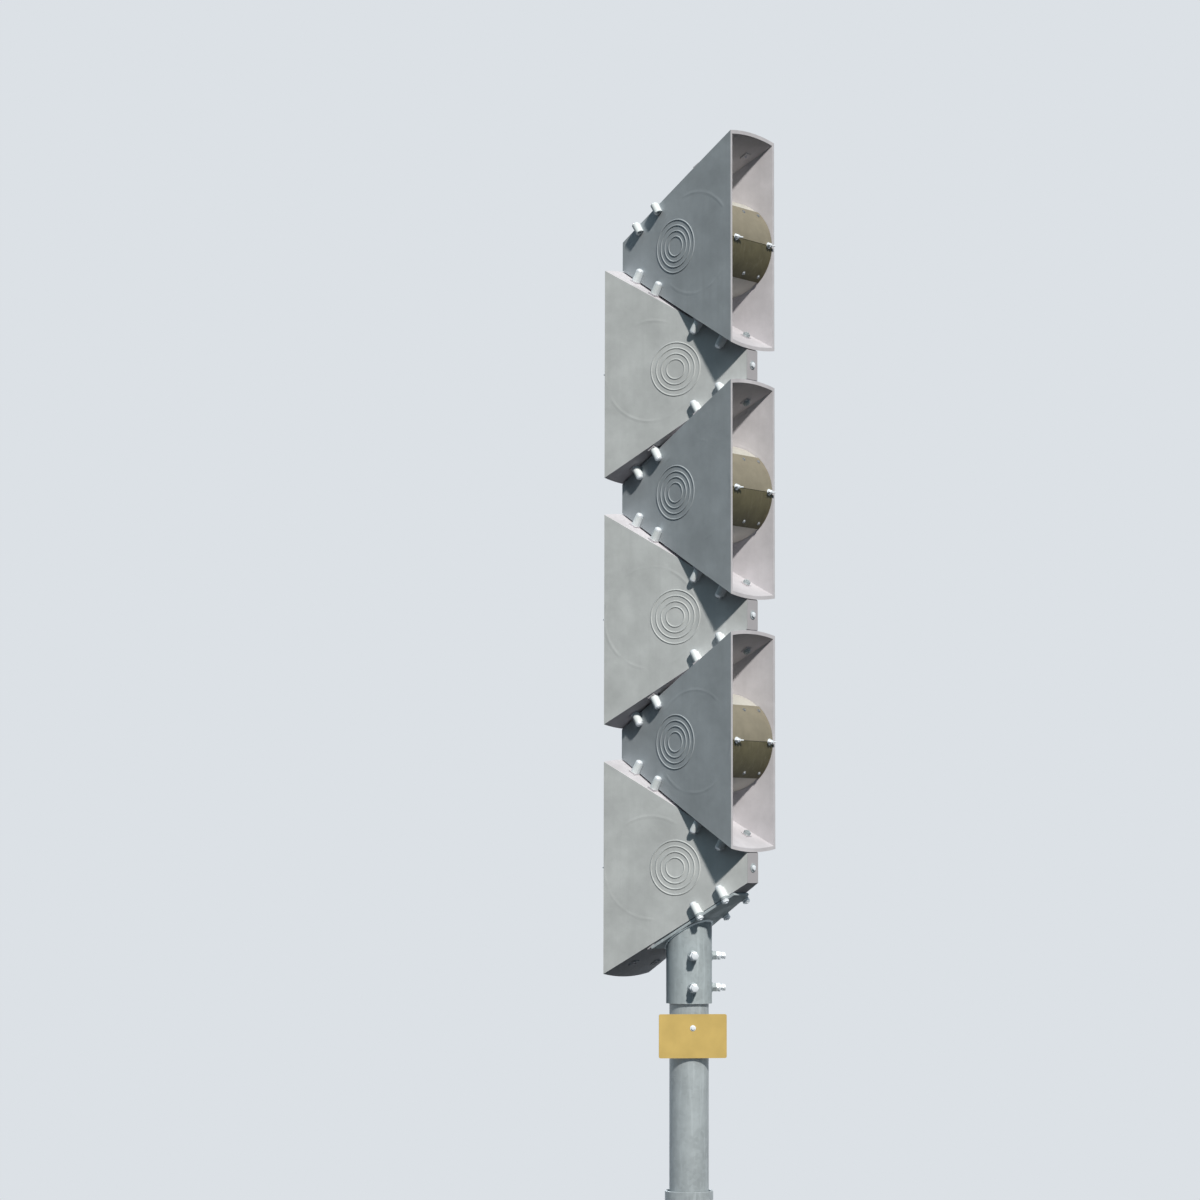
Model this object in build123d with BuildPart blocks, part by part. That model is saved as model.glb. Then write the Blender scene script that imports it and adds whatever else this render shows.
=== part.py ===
"""Electronic siren on a steel pole, from the ground up.

Six like cast horns are stacked over one another and look by turns to +X and -X. The sloping wall of
each lies along that of the next, so they nest into a straight column. A bracket under the lowest horn
carries the column on a tube mast, which stands in a wider pole with a base plate.

Millimetres, +Z up. The origin is the middle of the base plate's underside. The horns with odd numbers,
counted from the top, have their mouths towards +X.
"""

import os
from math import atan, cos, degrees, radians, sin, sqrt, tan

from build123d import *

# Pole and mast
pole_height = 5000.0
pole_diameter = 139.7
pole_wall = 5.0
mast_diameter = 114.3
mast_wall = 4.5
mast_insertion = 500.0
sleeve_rise = 537.0  # from the pole's rim up to the sleeve's lower end
mast_top_gap = 45.0  # from the mast's upper end to the bracket plate, on the axis
rim_chamfer = 1.5

# Base
base_side = 380.0
base_thickness = 25.0
base_corner_radius = 20.0
anchor_spacing = 280.0
anchor_hole = 28.0
cable_hole = 90.0
gusset_reach = 95.0
gusset_height = 170.0
gusset_thickness = 10.0
gusset_lip = 15.0

# Hand hole near the foot of the pole
door_centre_height = 900.0
door_opening_width = 85.0
door_opening_height = 350.0
door_overlap = 12.0
door_thickness = 3.0
door_corner_radius = 18.0
door_screw_inset = 22.0
door_screw_flats = 13.0
door_screw_height = 4.0
earth_lug_height = 210.0
earth_lug_size = 40.0
earth_lug_thickness = 6.0
earth_lug_hole = 11.0

# Rings and screws that hold the mast in the pole
ring_height = 20.0
ring_depths = (8.0, 440.0)
clamp_screw_depths = (70.0, 380.0)
clamp_screw_count = 3

# One horn casting
horn_length = 452.0
mouth_lead = 2.0  # how much further the mouth stands from the mast's axis than the rear
mouth_width = 225.0
mouth_height = 638.6  # over the crowned walls
rear_width = 54.0
rear_height = 86.6
crown_radius = 760.0  # of the upper and lower walls, across the slope
horn_wall = 9.0
rear_wall = 9.0
seat_proud = 1.25

# Lugs beside the narrow end of the casting, and the pads that they meet on the next one
lug_from_rear = 66.0
lug_pitch = 79.0
lug_side_gap = 13.3  # from the side wall to the bolt
lug_radius = 11.0
lug_length = 30.0
pad_side = 24.0
pad_depth = 15.0
bolt_hole = 11.5

# Driver drum in the mouth
drum_radius = 149.0
drum_setback = 1.0
cover_thickness = 4.0
cover_half_angle = 45.0
cover_split = 1.5
cover_end_gap = 1.5

# Wing nuts that hold the covers
wing_nut_side_gap = 20.0
wing_span = 38.0
wing_height = 16.0
wing_thickness = 4.0
wing_hub_diameter = 14.0
wing_hub_height = 9.0
wing_root_height = 3.0
stud_diameter = 8.0
stud_sunk = 20.0

# Bracket under the lowest horn
bracket_thickness = 8.0
bracket_margin = 22.5
bracket_low_end = 75.0
bracket_high_end = 182.0
sleeve_bore = 117.0
sleeve_wall = 8.0
sleeve_length = 200.0
sleeve_screw_row = 46.0
sleeve_screw_pitch = 92.0
sleeve_screw_angle = 45.0  # to either side of +X

# Screws that clamp a tube: weld nut, lock nut, shank and head
screw_diameter = 16.0
weld_nut_flats = 24.0
weld_nut_height = 13.0
lock_nut_flats = 24.0
lock_nut_height = 12.0
screw_neck = 5.0
screw_head_flats = 19.0
screw_head_height = 10.0

# Bolts between the castings
bolt_diameter = 10.0
bolt_head_flats = 17.0
bolt_head_height = 7.0
nut_height = 8.5

# Drain plug in the rear wall
plug_flats = 17.0
plug_height = 7.0
plug_washer_radius = 12.0
plug_washer_height = 2.0
plug_depth = 6.0

# Lifting lug on the uppermost horn
lifting_foot_length = 74.0
lifting_foot_width = 34.0
lifting_foot_thickness = 6.0
lifting_lug_width = 24.0
lifting_lug_height = 28.0
lifting_lug_thickness = 8.0
lifting_eye = 12.0
lifting_bolt_spacing = 46.0

# Notice plate on the mast
notice_width = 198.0
notice_height = 126.0
notice_thickness = 2.5
notice_corner_radius = 5.0
notice_below_sleeve = 92.0  # from the sleeve's lower end to the middle of the plate
notice_stand_off = 8.0
notice_screw_rise = 23.0
clamp_band_height = 20.0
clamp_band_thickness = 2.5
notice_lug_width = 30.0
notice_screw_diameter = 6.0
notice_screw_head = 12.0
notice_screw_head_height = 4.0

# Clearances
slide = 0.2  # between pieces that are put together by hand
contact = 0.1  # between faces that bear on each other

# What follows from the sizes above
mast_radius = mast_diameter / 2
pole_radius = pole_diameter / 2
sleeve_radius = sleeve_bore / 2 + sleeve_wall
mouth_x = (horn_length + mouth_lead) / 2
rear_x = (mouth_lead - horn_length) / 2
side_slope = (mouth_width - rear_width) / 2 / horn_length
slope = atan((mouth_height - rear_height) / 2 / horn_length)
apex_on_axis = rear_height / 2 - rear_x * tan(slope)
seat_on_axis = apex_on_axis + seat_proud / cos(slope)
horn_pitch = 2 * seat_on_axis + contact / cos(slope)


def half_width(x):
    """Half the outer width of the casting at x along its own axis."""
    return rear_width / 2 + (x - rear_x) * side_slope


# Heights, from the ground up
sleeve_low = pole_height + sleeve_rise
bracket_underside = sleeve_low + sleeve_length
mast_top = bracket_underside - mast_top_gap
bracket_seat = bracket_underside + bracket_thickness / cos(slope)
horn_6_height = bracket_seat + contact / cos(slope) + seat_on_axis
horn_heights = [horn_6_height + (6 - number) * horn_pitch for number in range(1, 7)]

# The plane of a casting's upper seats, with the way along the slope as its X
upper_seat = Plane(
    origin=(0, 0, seat_on_axis), x_dir=(cos(slope), 0, sin(slope)), z_dir=(-sin(slope), 0, cos(slope))
)
lug_stations = [rear_x + lug_from_rear + step * lug_pitch for step in (0, 1)]
lug_spots = [
    (x / cos(slope), side * (half_width(x) + lug_side_gap)) for x in lug_stations for side in (-1, 1)
]
pad_spots = [(-along, across) for along, across in lug_spots]

os.makedirs("parts", exist_ok=True)


def write(piece, name):
    """Labels a finished piece and writes it to its own file."""
    piece.part.label = name
    export_step(piece.part, f"parts/{name}.step")


def horn_place(number):
    """Where the casting with this number stands, and the way that its mouth looks."""
    return Location((0, 0, horn_heights[number - 1]), (0, 0, 0 if number % 2 else 180))


# Base plate, with the cable hole in the middle and four anchor holes
with BuildPart() as base_plate:
    with BuildSketch():
        RectangleRounded(base_side, base_side, base_corner_radius)
        Circle(cable_hole / 2, mode=Mode.SUBTRACT)
        with GridLocations(anchor_spacing, anchor_spacing, 2, 2):
            Circle(anchor_hole / 2, mode=Mode.SUBTRACT)
    extrude(amount=base_thickness)
write(base_plate, "base_plate")

# Four upright gussets between the pole and the plate
with BuildPart() as gusset:
    with BuildSketch(Plane.XZ):
        with BuildLine():
            Polyline(
                (pole_radius + slide, base_thickness),
                (pole_radius + gusset_reach, base_thickness),
                (pole_radius + gusset_reach, base_thickness + gusset_lip),
                (pole_radius + gusset_lip, base_thickness + gusset_height),
                (pole_radius + slide, base_thickness + gusset_height),
                close=True,
            )
        make_face()
    extrude(amount=gusset_thickness / 2, both=True)
with BuildPart() as base_gussets:
    with PolarLocations(0, 4):
        add(gusset.part)
write(base_gussets, "base_gussets")

# Pole with the hand hole on the -Y side and the holes for the clamp screws
with BuildPart() as pole:
    with BuildSketch(Plane.XY.offset(base_thickness)):
        Circle(pole_radius)
        Circle(pole_radius - pole_wall, mode=Mode.SUBTRACT)
    extrude(amount=pole_height - base_thickness)
    chamfer(pole.edges().group_by(Axis.Z)[-1], length=rim_chamfer)
    with BuildSketch(Plane.XZ):
        with Locations((0, door_centre_height)):
            RectangleRounded(door_opening_width, door_opening_height, door_corner_radius)
    extrude(amount=pole_diameter, mode=Mode.SUBTRACT)
    for depth in clamp_screw_depths:
        with Locations(Plane.XY.offset(pole_height - depth)):
            with PolarLocations(pole_radius, clamp_screw_count):
                Cylinder(
                    screw_diameter / 2 + slide,
                    4 * pole_wall,
                    rotation=(0, 90, 0),
                    mode=Mode.SUBTRACT,
                )
write(pole, "pole")

# Curved door over the hand hole
with BuildPart() as pole_door:
    with BuildSketch(Plane.XY.offset(door_centre_height)):
        Circle(pole_radius + slide + door_thickness)
        Circle(pole_radius + slide, mode=Mode.SUBTRACT)
    extrude(amount=door_opening_height / 2 + door_overlap, both=True)
    with BuildSketch(Plane.XZ):
        with Locations((0, door_centre_height)):
            RectangleRounded(
                door_opening_width + 2 * door_overlap,
                door_opening_height + 2 * door_overlap,
                door_corner_radius + door_overlap,
            )
    extrude(amount=pole_diameter, mode=Mode.INTERSECT)
write(pole_door, "pole_door")

# Two hexagon screws in the door
with BuildPart() as pole_door_screws:
    with BuildSketch(Plane.XZ.offset(pole_radius + slide + door_thickness)):
        for side in (-1, 1):
            with Locations((0, door_centre_height + side * (door_opening_height / 2 - door_screw_inset))):
                RegularPolygon(door_screw_flats / 2, 6, major_radius=False)
    extrude(amount=door_screw_height)
write(pole_door_screws, "pole_door_screws")

# Earthing lug on the foot of the pole
with BuildPart() as lug_plate:
    with BuildSketch(Plane.XZ):
        with Locations((-pole_radius - slide - earth_lug_size / 2, earth_lug_height)):
            Rectangle(earth_lug_size, earth_lug_size)
            Circle(earth_lug_hole / 2, mode=Mode.SUBTRACT)
    extrude(amount=earth_lug_thickness / 2, both=True)
with BuildPart() as earth_lug:
    with PolarLocations(0, 1, start_angle=45):
        add(lug_plate.part)
write(earth_lug, "earth_lug")

# Tube mast
with BuildPart() as mast_tube:
    with BuildSketch(Plane.XY.offset(pole_height - mast_insertion)):
        Circle(mast_radius)
        Circle(mast_radius - mast_wall, mode=Mode.SUBTRACT)
    extrude(amount=mast_top - pole_height + mast_insertion)
write(mast_tube, "mast_tube")

# Rings that centre the mast in the pole
with BuildPart() as centring_rings:
    for depth in ring_depths:
        with BuildSketch(Plane.XY.offset(pole_height - depth)):
            Circle(pole_radius - pole_wall - slide)
            Circle(mast_radius + slide, mode=Mode.SUBTRACT)
        extrude(amount=-ring_height)
write(centring_rings, "centring_rings")


def clamp_screw(outer_radius):
    """Screw along +X that bears on the mast, with its lock nut on the weld nut of a tube."""
    with BuildPart() as screw:
        nut_face = outer_radius + weld_nut_height
        nut_end = nut_face + lock_nut_height
        head_face = nut_end + screw_neck
        with BuildSketch(Plane.YZ.offset(mast_radius + contact)):
            Circle(screw_diameter / 2)
        extrude(amount=head_face - mast_radius)
        with BuildSketch(Plane.YZ.offset(nut_face + contact)):
            RegularPolygon(lock_nut_flats / 2, 6, major_radius=False)
        extrude(amount=lock_nut_height)
        with BuildSketch(Plane.YZ.offset(head_face)):
            RegularPolygon(screw_head_flats / 2, 6, major_radius=False)
        extrude(amount=screw_head_height)
    return screw.part


def weld_nut(outer_radius):
    """Hexagon nut along +X on the outside of a tube of this radius."""
    with BuildPart() as nut:
        with BuildSketch(Plane.YZ.offset(outer_radius - sleeve_wall / 2)):
            RegularPolygon(weld_nut_flats / 2, 6, major_radius=False)
            Circle(screw_diameter / 2 + slide, mode=Mode.SUBTRACT)
        extrude(amount=weld_nut_height + sleeve_wall / 2)
        with BuildSketch(Plane.XY):
            Circle(outer_radius)
        extrude(amount=weld_nut_flats, both=True, mode=Mode.SUBTRACT)
    return nut.part


# Weld nuts and screws that clamp the mast in the pole
pole_screw = clamp_screw(pole_radius)
pole_nut = weld_nut(pole_radius)
with BuildPart() as pole_weld_nuts:
    for depth in clamp_screw_depths:
        with Locations(Plane.XY.offset(pole_height - depth)):
            with PolarLocations(0, clamp_screw_count):
                add(pole_nut)
write(pole_weld_nuts, "pole_weld_nuts")

with BuildPart() as pole_screws:
    for depth in clamp_screw_depths:
        with Locations(Plane.XY.offset(pole_height - depth)):
            with PolarLocations(0, clamp_screw_count):
                add(pole_screw)
write(pole_screws, "pole_screws")

# Bracket plate parallel to the lower wall of horn 6, wider than the horn by the same margin all along
bracket_top = Plane(
    origin=(0, 0, bracket_seat), x_dir=(cos(slope), 0, sin(slope)), z_dir=(-sin(slope), 0, cos(slope))
)
bracket_spots = [(-along, -across) for along, across in lug_spots]
with BuildPart() as bracket_plate:
    with BuildSketch(bracket_top):
        with BuildLine():
            Polyline(
                (-bracket_low_end / cos(slope), -half_width(bracket_low_end) - bracket_margin),
                (bracket_high_end / cos(slope), -half_width(-bracket_high_end) - bracket_margin),
                (bracket_high_end / cos(slope), half_width(-bracket_high_end) + bracket_margin),
                (-bracket_low_end / cos(slope), half_width(bracket_low_end) + bracket_margin),
                close=True,
            )
        make_face()
        with Locations(*bracket_spots):
            Circle(bolt_hole / 2, mode=Mode.SUBTRACT)
    extrude(amount=-bracket_thickness)
write(bracket_plate, "bracket_plate")


def sleeve_screw_places(radius=0):
    """Places at this radius for the two screws of a row, each turned to face outwards."""
    return PolarLocations(
        radius, 2, start_angle=-sleeve_screw_angle, angular_range=2 * sleeve_screw_angle, endpoint=True
    )


# Sleeve under the bracket plate, cut off along the plate, with weld nuts for its screws
sleeve_rows = [sleeve_low + sleeve_screw_row + row * sleeve_screw_pitch for row in (0, 1)]
sleeve_nut = weld_nut(sleeve_radius)
with BuildPart() as bracket_sleeve:
    with BuildSketch(Plane.XY.offset(sleeve_low)):
        Circle(sleeve_radius)
        Circle(sleeve_bore / 2, mode=Mode.SUBTRACT)
    extrude(amount=sleeve_length + sleeve_radius)
    split(bisect_by=bracket_top.offset(-bracket_thickness - contact), keep=Keep.BOTTOM)
    for height in sleeve_rows:
        with Locations(Plane.XY.offset(height)):
            with sleeve_screw_places(sleeve_radius):
                Cylinder(
                    screw_diameter / 2 + slide,
                    4 * sleeve_wall,
                    rotation=(0, 90, 0),
                    mode=Mode.SUBTRACT,
                )
            with sleeve_screw_places():
                add(sleeve_nut)
write(bracket_sleeve, "bracket_sleeve")

sleeve_screw = clamp_screw(sleeve_radius)
with BuildPart() as sleeve_screws:
    for height in sleeve_rows:
        with Locations(Plane.XY.offset(height)):
            with sleeve_screw_places():
                add(sleeve_screw)
write(sleeve_screws, "sleeve_screws")

# One horn casting about its own axis, with the mouth towards +X. Its upper wall is part of a cylinder
# that lies along the slope, its lower wall is the same mirrored, and the side walls are upright.
side_depth = horn_wall * sqrt(1 + side_slope**2)
across_slope = Plane(origin=(0, 0, 0), x_dir=(0, 1, 0), z_dir=(cos(slope), 0, sin(slope)))


def horn_space(start, inset, crown_height, radius):
    """Space between two side walls and two crowned walls, from x = start to the mouth.

    The side walls lie this inset inside the casting's own. The crown's top line is crown_height from
    the middle of the horn, square to the slope, and radius is the crown's.
    """
    half = mouth_width / 2
    edge = crown_height - radius + sqrt(radius**2 - half**2)
    with BuildPart() as space:
        with BuildSketch():
            with BuildLine():
                Polyline(
                    (start, inset - half_width(start)),
                    (mouth_x, inset - half),
                    (mouth_x, half - inset),
                    (start, half_width(start) - inset),
                    close=True,
                )
            make_face()
        extrude(amount=mouth_height, both=True)
        with BuildSketch(across_slope):
            with BuildLine():
                ThreePointArc((-half, edge), (0, crown_height), (half, edge))
                Polyline((half, edge), (half, -mouth_height), (-half, -mouth_height), (-half, edge))
            make_face()
        below_crown = extrude(amount=horn_length, both=True, mode=Mode.PRIVATE)
        add(below_crown, mode=Mode.INTERSECT)
        mirror(below_crown, about=Plane.XY, mode=Mode.INTERSECT)
    return space.part


# A lug reaches from its bolt to the middle of the side wall, and lies along the slope's normal
with BuildPart() as upper_lugs:
    with BuildSketch(upper_seat):
        for along, across in lug_spots:
            inward = -1 if across > 0 else 1
            with Locations((along, across)):
                Circle(lug_radius)
            with Locations((along, across + inward * (lug_side_gap + horn_wall / 2) / 2)):
                Rectangle(2 * lug_radius, lug_side_gap + horn_wall / 2)
    extrude(amount=-lug_length)

with BuildPart() as upper_pads:
    with BuildSketch(upper_seat):
        with Locations(*pad_spots):
            Rectangle(pad_side, pad_side)
    extrude(amount=-pad_depth)

apex_reach = apex_on_axis * cos(slope)
with BuildPart() as horn:
    add(horn_space(rear_x, 0, apex_reach, crown_radius))
    add(
        horn_space(rear_x + rear_wall, side_depth, apex_reach - horn_wall, crown_radius - horn_wall),
        mode=Mode.SUBTRACT,
    )
    for detail in (upper_lugs.part, upper_pads.part):
        add(detail)
        mirror(detail, about=Plane.XY)
    with BuildSketch(upper_seat):
        with Locations(*lug_spots, *pad_spots):
            Circle(bolt_hole / 2)
    bolt_bores = extrude(amount=-2 * lug_length, mode=Mode.PRIVATE)
    add(bolt_bores, mode=Mode.SUBTRACT)
    mirror(bolt_bores, about=Plane.XY, mode=Mode.SUBTRACT)
    with BuildSketch(Plane.YZ.offset(rear_x)):
        Circle(bolt_hole / 2)
    extrude(amount=2 * rear_wall, mode=Mode.SUBTRACT)

# The lifting lug's two bolts go through the crowned top wall of horn 1
lifting_plane = upper_seat.offset(contact - seat_proud)
lifting_spots = [(side * lifting_bolt_spacing / 2, 0) for side in (-1, 1)]
with BuildPart() as lifting_bores:
    with BuildSketch(lifting_plane):
        with Locations(*lifting_spots):
            Circle(bolt_hole / 2)
    extrude(amount=-2 * horn_wall)

for number in range(1, 7):
    with BuildPart() as placed_horn:
        with Locations(horn_place(number)):
            add(horn.part)
            if number == 1:
                add(lifting_bores.part, mode=Mode.SUBTRACT)
    write(placed_horn, f"horn_{number}")

# Drum of the drivers, across the mouth from side wall to side wall
drum_x = mouth_x - drum_setback - drum_radius
stud_y = mouth_width / 2 - horn_wall - wing_nut_side_gap
inner_side = Plane(
    origin=(mouth_x, mouth_width / 2 - side_depth, 0),
    x_dir=(1, side_slope, 0),
    z_dir=(-side_slope, 1, 0),
)


def space_between_walls(gap):
    """Wedge between the horn's side walls, less this gap at each of them."""
    with BuildPart() as wedge:
        with BuildSketch():
            with BuildLine():
                front = inner_side.origin.Y - gap * sqrt(1 + side_slope**2)
                rear = front - horn_length * side_slope
                Polyline(
                    (mouth_x, front), (rear_x, rear), (rear_x, -rear), (mouth_x, -front), close=True
                )
            make_face()
        extrude(amount=mouth_height / 2, both=True)
    return wedge.part


def sector(outer, inner, start, end):
    """Part of a ring between two angles, in degrees."""
    with BuildSketch() as ring:
        with BuildLine():
            CenterArc((0, 0), outer, start, end - start)
            CenterArc((0, 0), inner, start, end - start)
            for angle in (start, end):
                Line(
                    (inner * cos(radians(angle)), inner * sin(radians(angle))),
                    (outer * cos(radians(angle)), outer * sin(radians(angle))),
                )
        make_face()
    return ring.sketch


# Plane across the drum: its X is the horn's X, its Y is up
drum_plane = Plane(origin=(drum_x, 0, 0), x_dir=(1, 0, 0), z_dir=(0, -1, 0))
housing_radius = drum_radius - cover_thickness - contact
with BuildPart() as driver_housing:
    with BuildSketch(drum_plane):
        Circle(housing_radius)
    extrude(amount=mouth_width / 2, both=True)
    add(space_between_walls(contact), mode=Mode.INTERSECT)
    with BuildSketch(Plane.YZ.offset(mouth_x)):
        with Locations((-stud_y, 0), (stud_y, 0)):
            Circle(stud_diameter / 2 + slide)
    extrude(amount=-drum_setback - cover_thickness - stud_sunk - 2 * contact, mode=Mode.SUBTRACT)

split_angle = degrees(cover_split / 2 / drum_radius)
with BuildPart() as driver_covers:
    with BuildSketch(drum_plane):
        add(sector(drum_radius, drum_radius - cover_thickness, split_angle, cover_half_angle))
        add(sector(drum_radius, drum_radius - cover_thickness, -cover_half_angle, -split_angle))
    extrude(amount=mouth_width / 2, both=True)
    add(space_between_walls(cover_end_gap), mode=Mode.INTERSECT)
    with BuildSketch(Plane.YZ.offset(mouth_x)):
        with Locations((-stud_y, 0), (stud_y, 0)):
            Circle(stud_diameter / 2 + slide)
    extrude(amount=-drum_setback - 2 * cover_thickness, mode=Mode.SUBTRACT)

for number in range(1, 7):
    with BuildPart() as placed_housing:
        with Locations(horn_place(number)):
            add(driver_housing.part)
    write(placed_housing, f"driver_housing_{number}")
    with BuildPart() as placed_covers:
        with Locations(horn_place(number)):
            add(driver_covers.part)
    write(placed_covers, f"driver_covers_{number}")

# Two wing nuts for each drum, on studs that stand in the split between the covers
cover_face = drum_x + drum_radius + contact
with BuildPart() as wing_nut:
    with BuildSketch(Plane.YZ.offset(cover_face)):
        Circle(wing_hub_diameter / 2)
    extrude(amount=wing_hub_height)
    with BuildSketch(Plane.XY):
        with BuildLine():
            Polyline(
                (cover_face + wing_root_height, -wing_hub_diameter / 2),
                (cover_face + wing_height, -wing_span / 2),
                (cover_face + wing_height, -wing_hub_diameter / 2),
                (cover_face + wing_hub_height, 0),
                (cover_face + wing_height, wing_hub_diameter / 2),
                (cover_face + wing_height, wing_span / 2),
                (cover_face + wing_root_height, wing_hub_diameter / 2),
                close=True,
            )
        make_face()
    extrude(amount=wing_thickness / 2, both=True)
    with BuildSketch(Plane.YZ.offset(cover_face - cover_thickness - stud_sunk)):
        Circle(stud_diameter / 2)
    extrude(amount=cover_thickness + stud_sunk + wing_hub_height / 2)

with BuildPart() as wing_nuts:
    for number in range(1, 7):
        with Locations(horn_place(number)):
            with GridLocations(1, 2 * stud_y, 1, 2):
                add(wing_nut.part)
write(wing_nuts, "wing_nuts")

# Drain plug with its washer in the middle of each rear wall
with BuildPart() as rear_plug:
    with BuildSketch(Plane.YZ.offset(rear_x - contact)):
        Circle(plug_washer_radius)
    extrude(amount=-plug_washer_height)
    with BuildSketch(Plane.YZ.offset(rear_x - contact - plug_washer_height)):
        RegularPolygon(plug_flats / 2, 6, major_radius=False)
    extrude(amount=-plug_height)
    with BuildSketch(Plane.YZ.offset(rear_x - contact)):
        Circle(bolt_hole / 2 - slide)
    extrude(amount=plug_depth)

with BuildPart() as rear_plugs:
    for number in range(1, 7):
        with Locations(horn_place(number)):
            add(rear_plug.part)
write(rear_plugs, "rear_plugs")


def lug_bolts(beyond_seat):
    """Bolts of the four upper lugs, whose nuts bear this far beyond the seats."""
    head_plane = Plane(
        origin=upper_seat.origin - upper_seat.z_dir * (lug_length + contact),
        x_dir=upper_seat.x_dir,
        z_dir=-upper_seat.z_dir,
    )
    grip = lug_length + beyond_seat + 2 * contact
    with BuildPart() as bolts:
        for start, height in ((0, bolt_head_height), (-grip - nut_height, nut_height)):
            with BuildSketch(head_plane.offset(start)):
                with Locations(*lug_spots):
                    RegularPolygon(bolt_head_flats / 2, 6, major_radius=False)
            extrude(amount=height)
        with BuildSketch(head_plane):
            with Locations(*lug_spots):
                Circle(bolt_diameter / 2)
        extrude(amount=-grip - nut_height / 2)
    return bolts.part


# Each seam is held by the lower lugs of the horn above it and the upper lugs of the horn below it
upper_seam_bolts = lug_bolts(contact + pad_depth)
lower_seam_bolts = mirror(upper_seam_bolts, about=Plane.XY, mode=Mode.PRIVATE)
for number in range(1, 6):
    with BuildPart() as placed_bolts:
        with Locations(horn_place(number)):
            add(lower_seam_bolts)
        with Locations(horn_place(number + 1)):
            add(upper_seam_bolts)
    write(placed_bolts, f"seam_bolts_{number}_{number + 1}")

# Horn 1 carries nothing, so its upper bolts end in nuts on the lugs themselves
with BuildPart() as top_bolts:
    with Locations(horn_place(1)):
        add(lug_bolts(0))
write(top_bolts, "top_bolts")

bracket_grip_bolts = lug_bolts(contact + bracket_thickness)
with BuildPart() as bracket_bolts:
    with Locations(horn_place(6)):
        add(mirror(bracket_grip_bolts, about=Plane.XY, mode=Mode.PRIVATE))
write(bracket_bolts, "bracket_bolts")

# Lifting lug: an eye plate on a foot, on the crown of horn 1 above the mast's axis
with BuildPart() as lifting_lug:
    with BuildSketch(lifting_plane):
        Rectangle(lifting_foot_length, lifting_foot_width)
        with Locations(*lifting_spots):
            Circle(bolt_hole / 2, mode=Mode.SUBTRACT)
    extrude(amount=lifting_foot_thickness)
    eye_plane = Plane(origin=lifting_plane.origin, x_dir=lifting_plane.x_dir, z_dir=(0, -1, 0))
    with BuildSketch(eye_plane):
        eye_height = lifting_lug_height - lifting_lug_width / 2
        with Locations((0, eye_height / 2)):
            Rectangle(lifting_lug_width, eye_height)
        with Locations((0, eye_height)):
            Circle(lifting_lug_width / 2)
            Circle(lifting_eye / 2, mode=Mode.SUBTRACT)
    extrude(amount=lifting_lug_thickness / 2, both=True)
with BuildPart() as placed_lug:
    with Locations(horn_place(1)):
        add(lifting_lug.part)
write(placed_lug, "lifting_lug")

with BuildPart() as lifting_bolts:
    top = lifting_foot_thickness + contact
    bottom = -horn_wall - 2 * contact
    with BuildSketch(lifting_plane.offset(top)):
        with Locations(*lifting_spots):
            RegularPolygon(bolt_head_flats / 2, 6, major_radius=False)
    extrude(amount=nut_height)
    with BuildSketch(lifting_plane.offset(bottom)):
        with Locations(*lifting_spots):
            RegularPolygon(bolt_head_flats / 2, 6, major_radius=False)
    extrude(amount=-bolt_head_height)
    with BuildSketch(lifting_plane.offset(bottom)):
        with Locations(*lifting_spots):
            Circle(bolt_diameter / 2)
    extrude(amount=top - bottom + nut_height / 2)
with BuildPart() as placed_lifting_bolts:
    with Locations(horn_place(1)):
        add(lifting_bolts.part)
write(placed_lifting_bolts, "lifting_bolts")

# Notice plate on a band round the mast, turned the same way as one pair of the sleeve's screws
notice_height_mid = sleeve_low - notice_below_sleeve
notice_back = mast_radius + notice_stand_off
notice_plane = Plane(
    origin=(0, 0, notice_height_mid),
    x_dir=(cos(radians(sleeve_screw_angle)), sin(radians(sleeve_screw_angle)), 0),
    z_dir=(sin(radians(sleeve_screw_angle)), -cos(radians(sleeve_screw_angle)), 0),
)
with BuildPart() as notice_plate:
    with BuildSketch(notice_plane.offset(notice_back)):
        RectangleRounded(notice_width, notice_height, notice_corner_radius)
        with Locations((0, notice_screw_rise)):
            Circle(notice_screw_diameter / 2 + slide, mode=Mode.SUBTRACT)
    extrude(amount=notice_thickness)
write(notice_plate, "notice_plate")

with BuildPart() as notice_band:
    with BuildSketch(Plane.XY.offset(notice_height_mid + notice_screw_rise - clamp_band_height / 2)):
        Circle(mast_radius + contact + clamp_band_thickness)
        Circle(mast_radius + contact, mode=Mode.SUBTRACT)
    extrude(amount=clamp_band_height)
    band_face = mast_radius + contact
    with BuildSketch(notice_plane.offset(band_face)):
        with Locations((0, notice_screw_rise)):
            Rectangle(notice_lug_width, clamp_band_height)
    extrude(amount=notice_back - contact - band_face)
    with BuildSketch(Plane.XY.offset(notice_height_mid)):
        Circle(mast_radius + contact)
    extrude(amount=notice_height / 2, both=True, mode=Mode.SUBTRACT)
    with BuildSketch(notice_plane.offset(notice_back)):
        with Locations((0, notice_screw_rise)):
            Circle(notice_screw_diameter / 2 + slide)
    extrude(amount=-notice_back, mode=Mode.SUBTRACT)
write(notice_band, "notice_band")

with BuildPart() as notice_screw:
    with BuildSketch(notice_plane.offset(notice_back + notice_thickness + contact)):
        with Locations((0, notice_screw_rise)):
            Circle(notice_screw_head / 2)
    extrude(amount=notice_screw_head_height)
    with BuildSketch(notice_plane.offset(mast_radius + 2 * contact)):
        with Locations((0, notice_screw_rise)):
            Circle(notice_screw_diameter / 2)
    extrude(amount=notice_back + notice_thickness - mast_radius)
write(notice_screw, "notice_screw")
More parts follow.
